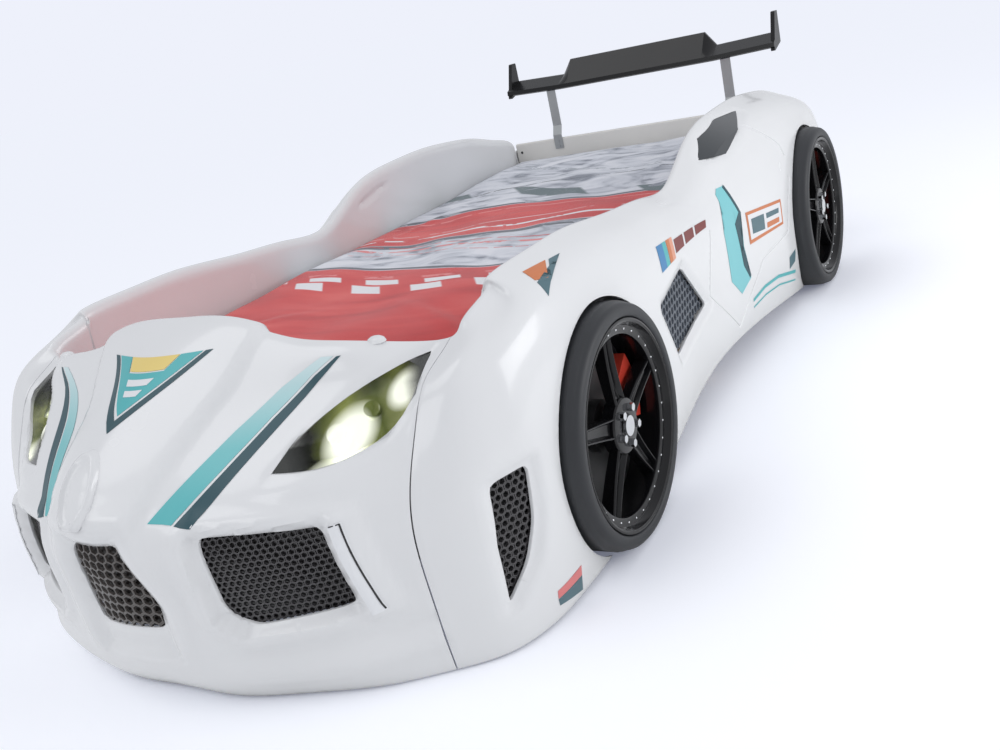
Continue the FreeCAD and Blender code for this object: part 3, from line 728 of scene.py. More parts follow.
def shaped(grid, front):
    # lips, grooves and ridges pressed into the smooth surface
    push = np.zeros(grid.shape[:2])

    def near(away, start, end):
        return 1 - smooth(away, start, end)

    if front:
        width, height = np.abs(grid[..., 0]), grid[..., 2]
        flat = np.stack([width, height], axis=-1)
        lampAway, outerAway, scoopAway, noseAway, slotAway = (
            outlineDistance(flat, outline) for outline in (lampOutline, outerGrille, noseScoop, noseGrille, daySlot))
        push -= relief["lampSink"] * near(lampAway, 0.0, 0.012)
        push += relief["outerLip"] * smooth(outerAway, 0.040, 0.020) * smooth(outerAway, 0.004, 0.016)
        push -= relief["outerSink"] * near(outerAway, -0.002, 0.012)
        push -= relief["scoopSink"] * near(scoopAway, -0.010, 0.010)
        push += (relief["scoopLip"] * smooth(scoopAway, 0.044, 0.024) * smooth(scoopAway, 0.004, 0.020)
                 * smooth(height, 0.09, 0.13))
        push -= relief["noseSink"] * near(noseAway, -0.002, 0.008) * (scoopAway < 0)
        push += relief["slotRise"] * near(slotAway, 0.006, 0.022)
        half = np.interp(height, hoodEdge["height"], hoodEdge["half"])
        push += hoodEdge["rise"] * near(width - half, -0.004, 0.014) * smooth(height, 0.300, 0.335)
        push += relief["chinRise"] * near(np.abs(height - 0.060), 0.0, 0.030) * smooth(width, 0.10, 0.22)
        push -= relief["chinSink"] * near(np.abs(height - 0.100), 0.0, 0.018) * smooth(width, 0.10, 0.22)
    else:
        flat = np.stack([grid[..., 1], grid[..., 2]], axis=-1)
        for outline in (sideVent, cornerVent):
            push -= relief["ventSink"] * near(outlineDistance(flat, outline), -0.002, 0.018)
        push -= relief["windowSink"] * near(outlineDistance(flat, quarterWindow), -0.002, 0.010)
        push *= grid[..., 0] > insideHalf + 0.003  # the inner wall stays flat
    return grid + gridNormals(grid) * push[..., None]


def gridFaces(rows, cols):
    faces = []
    for i in range(rows - 1):
        for j in range(cols - 1):
            a = i * cols + j
            faces.append([a, a + cols, a + cols + 1, a + 1])
    return faces


def gridTree(grids):
    # one search tree over several grids of points
    points, faces = [], []
    for grid in grids:
        start = len(points)
        points += [tuple(p) for p in grid.reshape(-1, 3)]
        faces += [[v + start for v in face] for face in gridFaces(*grid.shape[:2])]
    return BVHTree.FromPolygons(points, faces)


def cutBy(piece, cutters):
    for k, cutter in enumerate(cutters):
        cut = piece.modifiers.new("cut%d" % k, "BOOLEAN")
        cut.operation = "DIFFERENCE"
        cut.solver = "EXACT"
        cut.object = cutter
    applied(piece)
    for cutter in cutters:
        bpy.data.objects.remove(cutter)
    return piece


def shellPiece(name, grid, cutters, material):
    # a thin shell from a grid of points, kept behind the car's front plane, with its openings cut
    limit = cadBox[0][1] + 0.0005
    grid[..., 1] = np.maximum(grid[..., 1], limit)
    rows, cols = grid.shape[:2]
    piece = walled(meshObject(name, grid.reshape(-1, 3), gridFaces(rows, cols), material), body["wall"], -1)
    cutBy(piece, cutters)
    bevelled(piece, body["edge"], 2, 50)
    return sharpen(piece, 42)


# the way a projection looks: 0 from the car's left, 1 from the front, 2 from above
sightLines = (Vector((-1, 0, 0)), Vector((0, 1, 0)), Vector((0, 0, -1)))


def flatPoint(side, a, b):
    return [Vector((0, a, b)), Vector((a, 0, b)), Vector((a, b, 0))][side]


def onSkin(skin, side, a, b, lift=0.0):
    # the place on the body behind a flat point, and the way it faces
    sight = sightLines[side]
    start = flatPoint(side, a, b) - sight * 2
    spot, normal = skin.ray_cast(start, sight)[:2]
    if spot is None:
        spot, normal = skin.find_nearest(start + sight * 1.5)[:2]
    if normal.dot(sight) > 0:
        normal = -normal
    return spot + normal * lift, normal


def archCutter(y):
    # a drum round the wheel's centre
    radius = highOf("tyre_front_left").z - wheelZ + body["archGap"]
    turns = [2 * math.pi * k / 96 for k in range(96)]
    outline = [(y + radius * math.sin(turn), wheelZ + radius * math.cos(turn)) for turn in turns]
    return prismMesh("archCutter", outline, 0, boardOut + body["cutInside"], boardOut + body["cutOutside"])


def grooveCutter(line):
    # a thin six-sided tube that follows the body along a line
    points = []
    for (a, b), (c, d) in zip(line, line[1:]):
        count = max(2, int(math.hypot(c - a, d - b) / body["step"]))
        for k in range(count):
            points.append(onSkin(plainSkin, 0, a + (c - a) * k / count, b + (d - b) * k / count, body["grooveSink"]))
    points.append(onSkin(plainSkin, 0, *line[-1], body["grooveSink"]))
    vertices = []
    for k, (spot, normal) in enumerate(points):
        along = (points[min(k + 1, len(points) - 1)][0] - points[max(k - 1, 0)][0]).normalized()
        across = along.cross(normal).normalized()
        for j in range(6):
            turn = math.radians(60 * j)
            vertices.append(spot + (across * math.cos(turn) + normal * math.sin(turn)) * body["grooveRadius"])
    faces = bandFaces(len(points), 6) + endFaces(len(points), 6)
    return fixNormals(meshObject("grooveCutter", vertices, faces, None))


lastColumn = len(allColumns) - 1
seamGap = body["seamGap"]
frontBase = skinGrid(middle - seamColumn, middle + seamColumn, body["step"], seamGap, seamGap)
flankBase = skinGrid(middle + seamColumn, lastColumn, body["step"], seamGap)
smoothSkin = gridTree([frontBase, flankBase])
frontGrid = shaped(frontBase, True)
flankGrid = shaped(flankBase, False)
plainSkin = gridTree([frontGrid, flankGrid])

frontCutters = [prismMesh("cutter", noseHole, 1, noseY - 0.02, noseY + 0.2)]
for outline in (lampHole, outerHole, daySlot):
    for side in (1, -1):
        frontCutters.append(prismMesh("cutter", [(side * x, z) for x, z in outline], 1, noseY - 0.02, noseY + 0.42))
frontPiece = shellPiece("frontBody", frontGrid, frontCutters, shellWhite)
place(frontPiece, "bed", "body_white", "front_shell")

flankCutters = [archCutter(frontY), archCutter(rearY)]
for outline, inside in ((sideHole, "ventInside"), (cornerHole, "ventInside"), (windowHole, "cutInside")):
    flankCutters.append(prismMesh("cutter", outline, 0, boardOut + body[inside], boardOut + body["cutOutside"]))
flankCutters += [grooveCutter(line) for line in (doorLine, capLine)]
flankPiece = shellPiece("flankLeft", flankGrid, flankCutters, shellWhite)
place(flankPiece, "bed", "body_white", "flank_shell_left", "side_board_left")
place(mirroredCopy(flankPiece, "flankRight"), "bed", "body_white", "flank_shell_right", "side_board_right")

# one tree for all that repeats: an item stands on every point, turned by the point's own angles
print("bed: repeats")


def repeatTree():
    tree = bpy.data.node_groups.new("repeatItem", "GeometryNodeTree")
    for name, way, kind in (("Geometry", "INPUT", "Geometry"), ("Item", "INPUT", "Object"),
                            ("Item Size", "INPUT", "Float"), ("Finish", "INPUT", "Material"),
                            ("Geometry", "OUTPUT", "Geometry")):
        tree.interface.new_socket(name, in_out=way, socket_type="NodeSocket" + kind)
    start, end, item, turn, angles, spread, real, finish = (tree.nodes.new(kind) for kind in (
        "NodeGroupInput", "NodeGroupOutput", "GeometryNodeObjectInfo", "GeometryNodeInputNamedAttribute",
        "FunctionNodeEulerToRotation", "GeometryNodeInstanceOnPoints", "GeometryNodeRealizeInstances",
        "GeometryNodeSetMaterial"))
    turn.data_type = "FLOAT_VECTOR"
    turn.inputs["Name"].default_value = "turn"
    for source, target in ((start.outputs["Item"], item.inputs["Object"]),
                           (start.outputs["Geometry"], spread.inputs["Points"]),
                           (item.outputs["Geometry"], spread.inputs["Instance"]),
                           (turn.outputs["Attribute"], angles.inputs[0]),
                           (angles.outputs[0], spread.inputs["Rotation"]),
                           (start.outputs["Item Size"], spread.inputs["Scale"]),
                           (spread.outputs[0], real.inputs[0]), (real.outputs[0], finish.inputs["Geometry"]),
                           (start.outputs["Finish"], finish.inputs["Material"]), (finish.outputs[0], end.inputs[0])):
        tree.links.new(source, target)
    return tree


itemTree = repeatTree()


def repeated(name, places, item, material, size=1.0, angle=35):
    # places are (point, rotation) pairs; the item's mesh is about its own origin
    mesh = bpy.data.meshes.new(name)
    mesh.from_pydata([tuple(point) for point, turn in places], [], [])
    attribute = mesh.attributes.new("turn", "FLOAT_VECTOR", "POINT")
    for k, (point, turn) in enumerate(places):
        attribute.data[k].vector = tuple(turn)
    piece = linked(name, mesh)
    spread = piece.modifiers.new("repeat", "NODES")
    spread.node_group = itemTree
    chosen = {"Item": item, "Item Size": size, "Finish": material}
    for socket in itemTree.interface.items_tree:
        if socket.in_out == "INPUT" and socket.name in chosen:
            spread[socket.identifier] = chosen[socket.name]
    applied(piece)
    if not piece.data.materials:
        piece.data.materials.append(material)
    bpy.data.objects.remove(item)
    return sharpen(piece, angle)


def facing(normal):
    # angles that turn an item's z axis to the normal
    return Vector(normal).to_track_quat("Z", "Y").to_euler()


def ringItem(count, radius, bar, depth):
    # a ring with flat sides, such as one cell of a grille
    vertices = []
    for k in range(count):
        turn = 2 * math.pi * (k + 0.5) / count
        for r, z in ((radius, 0), (radius - bar, 0), (radius - bar * 1.3, -depth), (radius, -depth)):
            vertices.append((r * math.cos(turn), r * math.sin(turn), z))
    return fixNormals(meshObject("ringItem", vertices, bandFaces(count, 4, closed=True), None))


def domeItem(radius, height, count=10):
    # a low round head with a point under it
    vertices, faces = [(0, 0, height)], []
    for share in (0.5, 0.85, 1.0):
        for k in range(count):
            turn = 2 * math.pi * k / count
            vertices.append((radius * share * math.cos(turn), radius * share * math.sin(turn),
                             height * math.sqrt(max(0, 1 - share * share))))
    vertices.append((0, 0, -height))
    for k in range(count):
        n = (k + 1) % count
        faces.append([0, 1 + k, 1 + n])
        for ring in range(2):
            a = 1 + ring * count
            faces.append([a + k, a + count + k, a + count + n, a + n])
        faces.append([1 + 2 * count + k, len(vertices) - 1, 1 + 2 * count + n])
    return fixNormals(meshObject("domeItem", vertices, faces, None))


# films and panels that follow the body
filmStyle = {"lift": 0.0004, "thick": 0.0004, "step": 0.010}


def film(outline, side, material, lift=filmStyle["lift"], thick=filmStyle["thick"], skin=plainSkin):
    # an outline cut into small faces, laid on the body and given its thickness
    shape = bmesh.new()
    shape.faces.new([shape.verts.new(flatPoint(side, a, b)) for a, b in outline])
    bmesh.ops.triangulate(shape, faces=shape.faces[:])
    across = [axis for axis in range(3) if axis != side]
    for axis in across:
        reach = [v.co[axis] for v in shape.verts]
        spot = min(reach) + filmStyle["step"]
        while spot < max(reach):
            at, normal = Vector(), Vector()
            at[axis], normal[axis] = spot, 1
            bmesh.ops.bisect_plane(shape, geom=shape.verts[:] + shape.edges[:] + shape.faces[:],
                                   plane_co=at, plane_no=normal)
            spot += filmStyle["step"]
    bmesh.ops.triangulate(shape, faces=shape.faces[:])
    for face in shape.faces:
        face.normal_update()
        if face.normal.dot(sightLines[side]) > 0:
            face.normal_flip()
    for vertex in shape.verts:
        vertex.co = onSkin(skin, side, *[vertex.co[axis] for axis in across], lift)[0]
    return sharpen(walled(fromShape("film", shape, [material]), thick, 1), 40)


def ribbonOutline(line, width):
    # the outline of a line drawn with an even width
    points = [Vector(p) for p in line]
    left, right = [], []
    for k, p in enumerate(points):
        before = (p - points[k - 1]).normalized() if k else None
        after = (points[k + 1] - p).normalized() if k + 1 < len(points) else None
        run = ((before or after) + (after or before)).normalized()
        bend = max(0.6, run.dot(after or before))
        side = Vector((-run.y, run.x)) * width / 2 / bend
        left.append(tuple(p + side))
        right.append(tuple(p - side))
    return left + right[::-1]


def inflated(outline, grow):
    # the outline moved outward by an even gap
    points = [Vector(p) for p in outline]
    area = sum(p.x * q.y - q.x * p.y for p, q in zip(points, points[1:] + points[:1]))
    sign = 1 if area > 0 else -1
    result = []
    for k, p in enumerate(points):
        before, after = (p - points[k - 1]).normalized(), (points[(k + 1) % len(points)] - p).normalized()
        run = (before + after).normalized()
        result.append(tuple(p + Vector((run.y, -run.x)) * sign * grow / max(0.5, run.dot(after))))
    return result


def mirroredPair(name, pieces, finish):
    # the car's left side joined and given its right-hand twin
    left = joined(name + "Left", pieces)
    place(left, "bed", finish)
    place(mirroredCopy(left, name + "Right"), "bed", finish)


# printed shapes in plain colours, in millimetres
print("bed: films")
hoodStripe = {
    "inner": [(104, 325), (142, 364), (179, 401), (227, 439), (266, 461), (282, 469)],
    "gap": [(140, 317), (188, 365), (228, 407), (273, 447), (303, 467)], "insideGap": (-3, 1), "outsideGap": (2, 0),
    "outer": [(166, 311), (206, 357), (250, 406), (282, 440), (311, 467)],
}


def nudged(points, by):
    return [(a + by[0], b + by[1]) for a, b in points]


innerEdge = nudged(hoodStripe["gap"], hoodStripe["insideGap"])
outerEdge = nudged(hoodStripe["gap"], hoodStripe["outsideGap"])
mirroredPair("hoodStripe", [film(scaled(hoodStripe["inner"] + innerEdge[::-1]), 1, tealFade),
                            film(scaled(outerEdge + hoodStripe["outer"][::-1]), 1, films["darkTeal"])], "body_white")

pennant = {"half": 104, "top": 502, "tip": 434, "edge": 9, "shift": (8, 0), "over": 0.0009,
           "yellow": [(-50, 502), (50, 502), (35, 488.5), (-35, 488.5)],
           "bars": ([(-26, 481), (26, 481), (20, 475), (-20, 475)],
                    [(-17, 471), (17, 471), (12, 465.5), (-12, 465.5)])}
half, top, tip, edge = (pennant[key] for key in ("half", "top", "tip", "edge"))
flagShapes = [([(-half, top), (-half + 1.3 * edge, top), (0, tip + edge * 1.2), (0, tip)], "darkTeal"),
              ([(half, top), (0, tip), (0, tip + edge * 1.2), (half - 1.3 * edge, top)], "darkTeal"),
              ([(-half + 1.8 * edge, top), (-52, top), (-36, 487), (36, 487), (52, top), (half - 1.8 * edge, top),
                (0, tip + edge * 1.7)], "teal"), (pennant["yellow"], "yellow")]
flagParts = [film(scaled(nudged(points, pennant["shift"])), 1, films[tone]) for points, tone in flagShapes]
flagParts += [film(scaled(nudged(points, pennant["shift"])), 1, films["chalk"], pennant["over"])
              for points in pennant["bars"]]
place(joined("hoodPennant", flagParts), "bed", "body_white")

# the slot light closes its opening, with a thin dark line along two of its edges
slot = {"overlap": 0.0020, "lift": 0.0004, "thick": 0.0012, "line": 0.0016, "lineLift": 0.0017}
slotLight = film(inflated(daySlot, slot["overlap"]), 1, slotWhite, slot["lift"], slot["thick"])
slotLight.name = "slotLightLeft"
place(slotLight, "bed", "day_light", "day_light_left")
place(mirroredCopy(slotLight, "slotLightRight"), "bed", "day_light", "day_light_right")
mirroredPair("slotEdge", [film(ribbonOutline([daySlot[k], daySlot[k + 1]], slot["line"]), 1, satinBlack,
                               slot["lineLift"]) for k in (0, 1)], "mesh_black")

# the slanted patch behind the front wheel: bars as (from, to, share cut off, tone) between two edges
patch = {"start": (-252, 404), "end": (57, 372), "lowStart": (-267, 358), "lowEnd": (42, 351),
         "bars": ((0.0, 0.11, 0, "blue"), (0.11, 0.18, 0, "teal"), (0.19, 0.25, 0, "orange"),
                  (0.25, 0.31, 0, "salmon"), (0.34, 0.52, 0.35, "darkRed"), (0.56, 0.74, 0.35, "darkRed"),
                  (0.78, 0.98, 0.35, "darkRed"))}
# other shapes of the flank as (side, outline, tone, layer), a ribbon's outline from its line and width
sideShapes = (
    (2, [(497, -662), (502, -594), (527, -642), (519, -669)], "orange", 0),
    (2, [(504, -586), (506, -550), (541, -678), (523, -671), (531, -640)], "slate", 0),
    (0, [(129, 400), (140, 410), (171, 408), (213, 336), (182, 318), (192, 221), (215, 184), (157, 165), (111, 209),
         (114, 318), (142, 337)], "cyan", 0),
    (0, ribbonOutline([(168, 408), (208, 337), (178, 318), (188, 222), (211, 187)], 8), "darkTeal", 1),
    (0, ribbonOutline([(222, 126), (293, 134), (380, 128), (500, 100)], 8), "teal", 0),
    (0, ribbonOutline([(226, 108), (300, 112), (390, 104), (506, 76)], 4), "teal", 0),
    (0, [(236, 327), (442, 300), (438, 240), (234, 254)], "orange", 0),
    (0, [(244, 319), (434, 294), (431, 247), (242, 262)], "chalk", 1),
    (0, [(258, 306), (330, 297), (326, 262), (256, 272)], "slate", 2),
    (0, [(344, 294), (420, 285), (417, 274), (343, 282)], "slate", 2),
    (0, [(342, 272), (416, 264), (413, 253), (340, 260)], "orange", 2),
    (0, [(455, 150), (497, 158), (493, 128), (457, 120)], "slate", 0),
    (0, [(-849, 58), (-786, 64), (-785, 46), (-848, 44)], "paleRed", 0),
    (0, [(-848, 43), (-785, 45), (-782, 17), (-845, 30)], "slate", 0))


def along(start, end, share):
    return tuple(a + (b - a) * share for a, b in zip(start, end))


def patchBar(first, last, cut):
    # one bar between the patch's upper and lower edges
    corners = []
    for share, height in ((first, 1 - cut / 2), (last, 1 - cut / 2), (last, cut / 2), (first, cut / 2)):
        corners.append(along(along(patch["lowStart"], patch["lowEnd"], share),
                             along(patch["start"], patch["end"], share), height))
    return scaled(corners)


sideFilms = [film(patchBar(first, last, cut), 0, films[tone]) for first, last, cut, tone in patch["bars"]]
sideFilms += [film(scaled(points), side, films[tone], filmStyle["lift"] + 0.0005 * layer)
              for side, points, tone, layer in sideShapes]
mirroredPair("sideFilms", sideFilms, "body_white")

# plain oval boss on the nose
print("bed: boss and grilles")
boss = {"middle": (0, 376), "half": (33, 46), "rise": 0.009, "rings": 14, "steps": 56, "rimAt": 0.82,
        "rimWidth": 0.10, "crown": 0.42, "root": -0.002}


def noseBoss():
    # a raised oval rim round a low crown
    vertices = []
    rings, steps = boss["rings"], boss["steps"]
    for r in range(rings + 1):
        share = r / rings
        rim = math.exp(-((share - boss["rimAt"]) / boss["rimWidth"]) ** 2)
        rise = boss["rise"] * (rim + boss["crown"] * (1 - share ** 2)) if r < rings else boss["root"]
        for k in range(steps):
            turn = 2 * math.pi * k / steps
            a = (boss["middle"][0] + boss["half"][0] * share * math.cos(turn)) / 1000
            b = (boss["middle"][1] + boss["half"][1] * share * math.sin(turn)) / 1000
            vertices.append(onSkin(plainSkin, 1, a, b, rise)[0])
    piece = fixNormals(meshObject("noseBoss", vertices, bandFaces(rings + 1, steps), shellWhite))
    if sum(f.normal.y for f in piece.data.polygons) > 0:
        piece.data.flip_normals()
    return sharpen(piece, 60)


place(noseBoss(), "bed", "body_white")

# honeycomb grilles: a lattice of cells laid behind each opening
grilleStyle = {"sink": 0.017, "backSink": 0.026, "margin": 0.004, "cellDepth": 0.0035, "backThick": 0.002}
grilles = {
    "noseMesh": {"outline": noseGrille, "side": 1, "pitch": 0.0185, "bar": 0.0024, "back": deepBrown,
                 "cells": brownMesh, "node": "nose_grille"},
    "outerMesh": {"outline": outerGrille, "side": 1, "pitch": 0.0100, "bar": 0.0015, "back": glassBlack,
                  "cells": greyMesh, "node": "outer_grille"},
    "sideMesh": {"outline": sideVent, "side": 0, "pitch": 0.0190, "bar": 0.0030, "back": satinBlack,
                 "cells": blueMesh, "node": "side_vent"},
    "cornerMesh": {"outline": cornerVent, "side": 0, "pitch": 0.0120, "bar": 0.0020, "back": satinBlack,
                   "cells": greyMesh, "node": "corner_vent"},
}


def latticeOn(outline, side, pitch):
    # staggered rows of cells over an outline, laid behind the skin
    lows, highs = np.min(outline, axis=0), np.max(outline, axis=0)
    spots = []
    row, b = 0, lows[1] - pitch
    while b < highs[1] + pitch:
        a = lows[0] - pitch + (pitch / 2 if row % 2 else 0)
        while a < highs[0] + pitch:
            spots.append((a, b))
            a += pitch
        b += pitch * 0.866
        row += 1
    found = []
    for (a, b), gap in zip(spots, outlineDistance(np.array(spots), outline)):
        if gap < grilleStyle["margin"]:
            spot, normal = onSkin(smoothSkin, side, a, b, -grilleStyle["sink"])
            found.append((spot, facing(normal)))
    return found


def grille(outline, side, pitch, bar, back, cells):
    item = ringItem(6, pitch / 1.732, bar, grilleStyle["cellDepth"])
    lattice = repeated("cells", latticeOn(outline, side, pitch), item, cells)
    panel = film(inflated(outline, grilleStyle["margin"]), side, back, -grilleStyle["backSink"],
                 grilleStyle["backThick"], smoothSkin)
    return [lattice, panel]


for name, style in grilles.items():
    node = style.pop("node")
    paired = name != "noseMesh"
    whole = joined(name + "Left" if paired else name, grille(**style))
    place(whole, "bed", "mesh_black", node + "_left" if paired else node)
    if paired:
        place(mirroredCopy(whole, name + "Right"), "bed", "mesh_black", node + "_right")

# bedding
print("bed: bedding")
pad = {"half": 0.445, "front": lowOf("mattress").y + 0.001, "back": highOf("mattress").y - 0.001,
       "low": lowOf("mattress").z, "top": highOf("mattress").z - 0.001, "round": 0.030, "step": 0.04}


def roundedSlab(name, lowest, highest, radius, step, material):
    # a slab with evenly rounded edges, in small faces
    def samples(start, end):
        turns = [radius * (1 - math.cos(math.radians(t))) for t in (0, 15, 30, 45, 60, 75)]
        count = max(4, int((end - start - 2 * radius) / step))
        middle = list(np.linspace(start + radius, end - radius, count))
        return [start + t for t in turns] + middle + [end - t for t in turns[::-1]]

    shape = bmesh.new()
    xs, ys, zs = (samples(*ends) for ends in zip(lowest, highest))
    spots = {}

    def vertex(i, j, k):
        if (i, j, k) not in spots:
            p = Vector((xs[i], ys[j], zs[k]))
            core = Vector([min(max(p[n], lowest[n] + radius), highest[n] - radius) for n in range(3)])
            away = p - core
            if away.length > 1e-9:
                p = core + away.normalized() * radius
            spots[i, j, k] = shape.verts.new(p)
        return spots[i, j, k]

    a, b, c = len(xs) - 1, len(ys) - 1, len(zs) - 1
    for i in range(a):
        for j in range(b):  # top and underside
            shape.faces.new([vertex(i, j, c), vertex(i + 1, j, c), vertex(i + 1, j + 1, c), vertex(i, j + 1, c)])
            shape.faces.new([vertex(i, j, 0), vertex(i, j + 1, 0), vertex(i + 1, j + 1, 0), vertex(i + 1, j, 0)])
        for k in range(c):  # foot and head
            shape.faces.new([vertex(i, 0, k), vertex(i + 1, 0, k), vertex(i + 1, 0, k + 1), vertex(i, 0, k + 1)])
            shape.faces.new([vertex(i, b, k), vertex(i, b, k + 1), vertex(i + 1, b, k + 1), vertex(i + 1, b, k)])
    for j in range(b):
        for k in range(c):  # both long sides
            shape.faces.new([vertex(0, j, k), vertex(0, j, k + 1), vertex(0, j + 1, k + 1), vertex(0, j + 1, k)])
            shape.faces.new([vertex(a, j, k), vertex(a, j + 1, k), vertex(a, j + 1, k + 1), vertex(a, j, k + 1)])
    return sharpen(fixNormals(fromShape(name, shape, [material])), 60)


mattress = roundedSlab("mattressPad", Vector((-pad["half"], pad["front"], pad["low"])),
                       Vector((pad["half"], pad["back"], pad["top"])), pad["round"], pad["step"], mattressCloth)
place(mattress, "bedding", "mattress_cloth", "mattress")

cover = {"half": 0.4495, "front": lowOf("bedspread").y + 0.002, "back": highOf("bedspread").y - 0.002,
         "top": pad["top"] + 0.0016, "round": 0.034, "fall": 0.045, "step": 0.010, "thick": 0.0022, "puff": 0.007,
         "frontPuff": 0.014, "edgeEase": 0.07, "pullLength": 0.17, "pullWidth": 0.016,
         # waves as (rise, turns along x, turns along y, phase), pulled folds as (x, y, turn, rise)
         "waves": ((0.0042, 9.0, 5.5, 0.4), (0.0030, -6.5, 11.5, 1.7), (0.0022, 17.0, 8.0, 2.6),
                   (0.0016, 5.0, 23.0, 0.9), (0.0012, -27.0, 14.0, 3.9), (0.0008, 38.0, 33.0, 5.1)),
         "pulls": ((-0.30, -0.62, 0.9, 0.0050), (0.25, -0.55, -0.7, 0.0055), (0.34, -0.10, 1.2, 0.0040),
                   (-0.33, 0.30, 1.4, 0.0040), (0.20, 0.72, -1.1, 0.0035), (-0.12, 0.92, 0.5, 0.0030))}


def coverLine(start, end):
    # how a straight line of the cloth runs over one edge, across the top and over the other: (place, drop)
    radius, fall = cover["round"], cover["fall"]
    span = end - start - 2 * radius
    arc = radius * math.pi / 2
    whole = span + 2 * arc + 2 * fall
    count = int(whole / cover["step"])
    found = []
    for k in range(count + 1):
        s = whole * k / count
        mirror = s > whole / 2
        t = whole - s if mirror else s
        if t < fall:
            spot, drop = start, radius + fall - t
        elif t < fall + arc:
            turn = (t - fall) / radius
            spot, drop = start + radius * (1 - math.cos(turn)), radius * (1 - math.sin(turn))
        else:
            spot, drop = start + radius + t - fall - arc, 0.0
        found.append((start + end - spot if mirror else spot, drop, s - whole / 2))
    return found, whole


def coverHeight(x, y):
    # soft waves and a few long folds over the padded top
    total = 0.0
    for rise, a, b, phase in cover["waves"]:
        total += rise * math.sin(a * x + b * y + phase + 0.8 * math.sin(3.1 * x - 2.3 * y))
    for startX, startY, turn, rise in cover["pulls"]:
        dx, dy = x - startX, y - startY
        down = dx * math.cos(turn) + dy * math.sin(turn)
        across = -dx * math.sin(turn) + dy * math.cos(turn) + 0.35 * down * down
        fade = math.exp(-(down / cover["pullLength"]) ** 2)
        total += rise * fade * math.exp(-(across / cover["pullWidth"]) ** 2)
        total -= rise * 0.7 * fade * math.exp(-((across - 0.030) / 0.020) ** 2)
    return total


def bedCover():
    # one sheet over the pad, with its flat map in metres
    lineX, wide = coverLine(-cover["half"], cover["half"])
    lineY, long = coverLine(cover["front"], cover["back"])
    vertices, spots = [], []
    for x, dropX, u in lineX:
        for y, dropY, v in lineY:
            drop = (dropX ** 4 + dropY ** 4) ** 0.25
            inside = min(cover["half"] - abs(x), y - cover["front"], cover["back"] - y)
            ease = max(0.0, min(1.0, inside / cover["edgeEase"]))
            puff = (cover["puff"] + coverHeight(x, y)) * ease
            puff += cover["frontPuff"] * smooth(-y, -0.45, 0.45) * ease ** 0.6
            vertices.append((x, y, cover["top"] + max(0.0005, puff) - drop))
            spots.append((u, v))
    piece = meshObject("bedCover", vertices, gridFaces(len(lineX), len(lineY)), coverCloth)
    layer = piece.data.uv_layers.new(name="flat")
    for loop in piece.data.loops:
        layer.data[loop.index].uv = spots[loop.vertex_index]
    return sharpen(walled(piece, cover["thick"], 1), 80), (wide, long)


coverPiece, coverCut = bedCover()
place(coverPiece, "bedding", "cover_cloth", "bedspread")
print("bed: cover cut to", [round(value, 3) for value in coverCut])

# wheels: tyre, rim with twin-rail spokes, hub and rivets
print("bed: wheels")
wheel = {"rim": 0.176, "hub": 0.047, "spokes": 5, "spokeInner": 0.020, "spokeOuter": 0.152, "halfInner": 0.0190,
         "halfOuter": 0.0125, "rail": 0.0034, "rivets": 32, "rivetRing": 0.1575, "rivetSink": 0.0134,
         "rivet": (0.0022, 0.0014), "spokeSink": 0.012, "edge": 0.0007}
# outlines in millimetres as (x, radius), outwards from inX, outX, the rim's face or the spokes' face
tread = {"inner": ((0, -8), (2, -3), (6, -0.5), (10, 0)),
         "outer": ((-24, 0), (-20, -0.8), (-16.5, -3), (-11, -3.6), (-6, -5.2), (-2, -9), (0, -14)),
         "bead": ((-0.2, 6.5), (-1.5, 3), (-4, 1.2), (-8, 0.5))}
barrel = {"face": ((-2, 0), (-0.5, -1.2), (0, -4), (-1.5, -7.5), (-10, -10.5), (-12.5, -12.5), (-13.2, -15),
                   (-13.2, -23), (-15, -26.2), (-20, -27.5), (-46, -21.5)), "back": ((6, -19.5), (1, -18.5))}
hubSteps = ((-24, 0), (-4, 0), (-1.2, -2), (-0.4, -5), (-0.4, -26), (-2, -28), (-6, -29.5))


def stepped(x, radius, steps):
    return [(x + out / 1000, radius + up / 1000) for out, up in steps]


def spokeItem(face):
    # one spoke along z: two raised rails and a sunk middle; x runs out of the wheel
    vertices, rail = [], wheel["rail"]
    for k in range(11):
        share = k / 10
        reach = wheel["spokeInner"] + (wheel["spokeOuter"] - wheel["spokeInner"]) * share
        half = wheel["halfInner"] + (wheel["halfOuter"] - wheel["halfInner"]) * share ** 0.8
        out = face - 0.004 * share - 0.006 * math.sin(math.pi * share) * 0.4
        sink = 0.004 + 0.006 * smooth(share, 0.05, 0.35)
        back = out - 0.016 - 0.010 * share
        halves = [(back, half), (out - 0.003, half), (out, half - 0.0016), (out, half - rail),
                  (out - sink, half - rail - 0.004)]
        for x, y in [(x, -y) for x, y in halves] + halves[::-1]:
            vertices.append((x, y, reach))
    faces = bandFaces(11, 10) + endFaces(11, 10)
    return fixNormals(meshObject("spokeItem", vertices, faces, None))


def tyreRing(name, end, y):
    node = "tyre_%s_left" % end
    inX, outX, r = lowOf(node).x, highOf(node).x, wheel["rim"]
    radius = (highOf(node).z - lowOf(node).z) / 2
    ring = ([(inX, r + 0.0005)] + stepped(inX, radius, tread["inner"]) + stepped(outX, radius, tread["outer"])
            + stepped(outX, r, tread["bead"]))
    return turned(name, ring, (y, wheelZ), rubber, 144, 50)


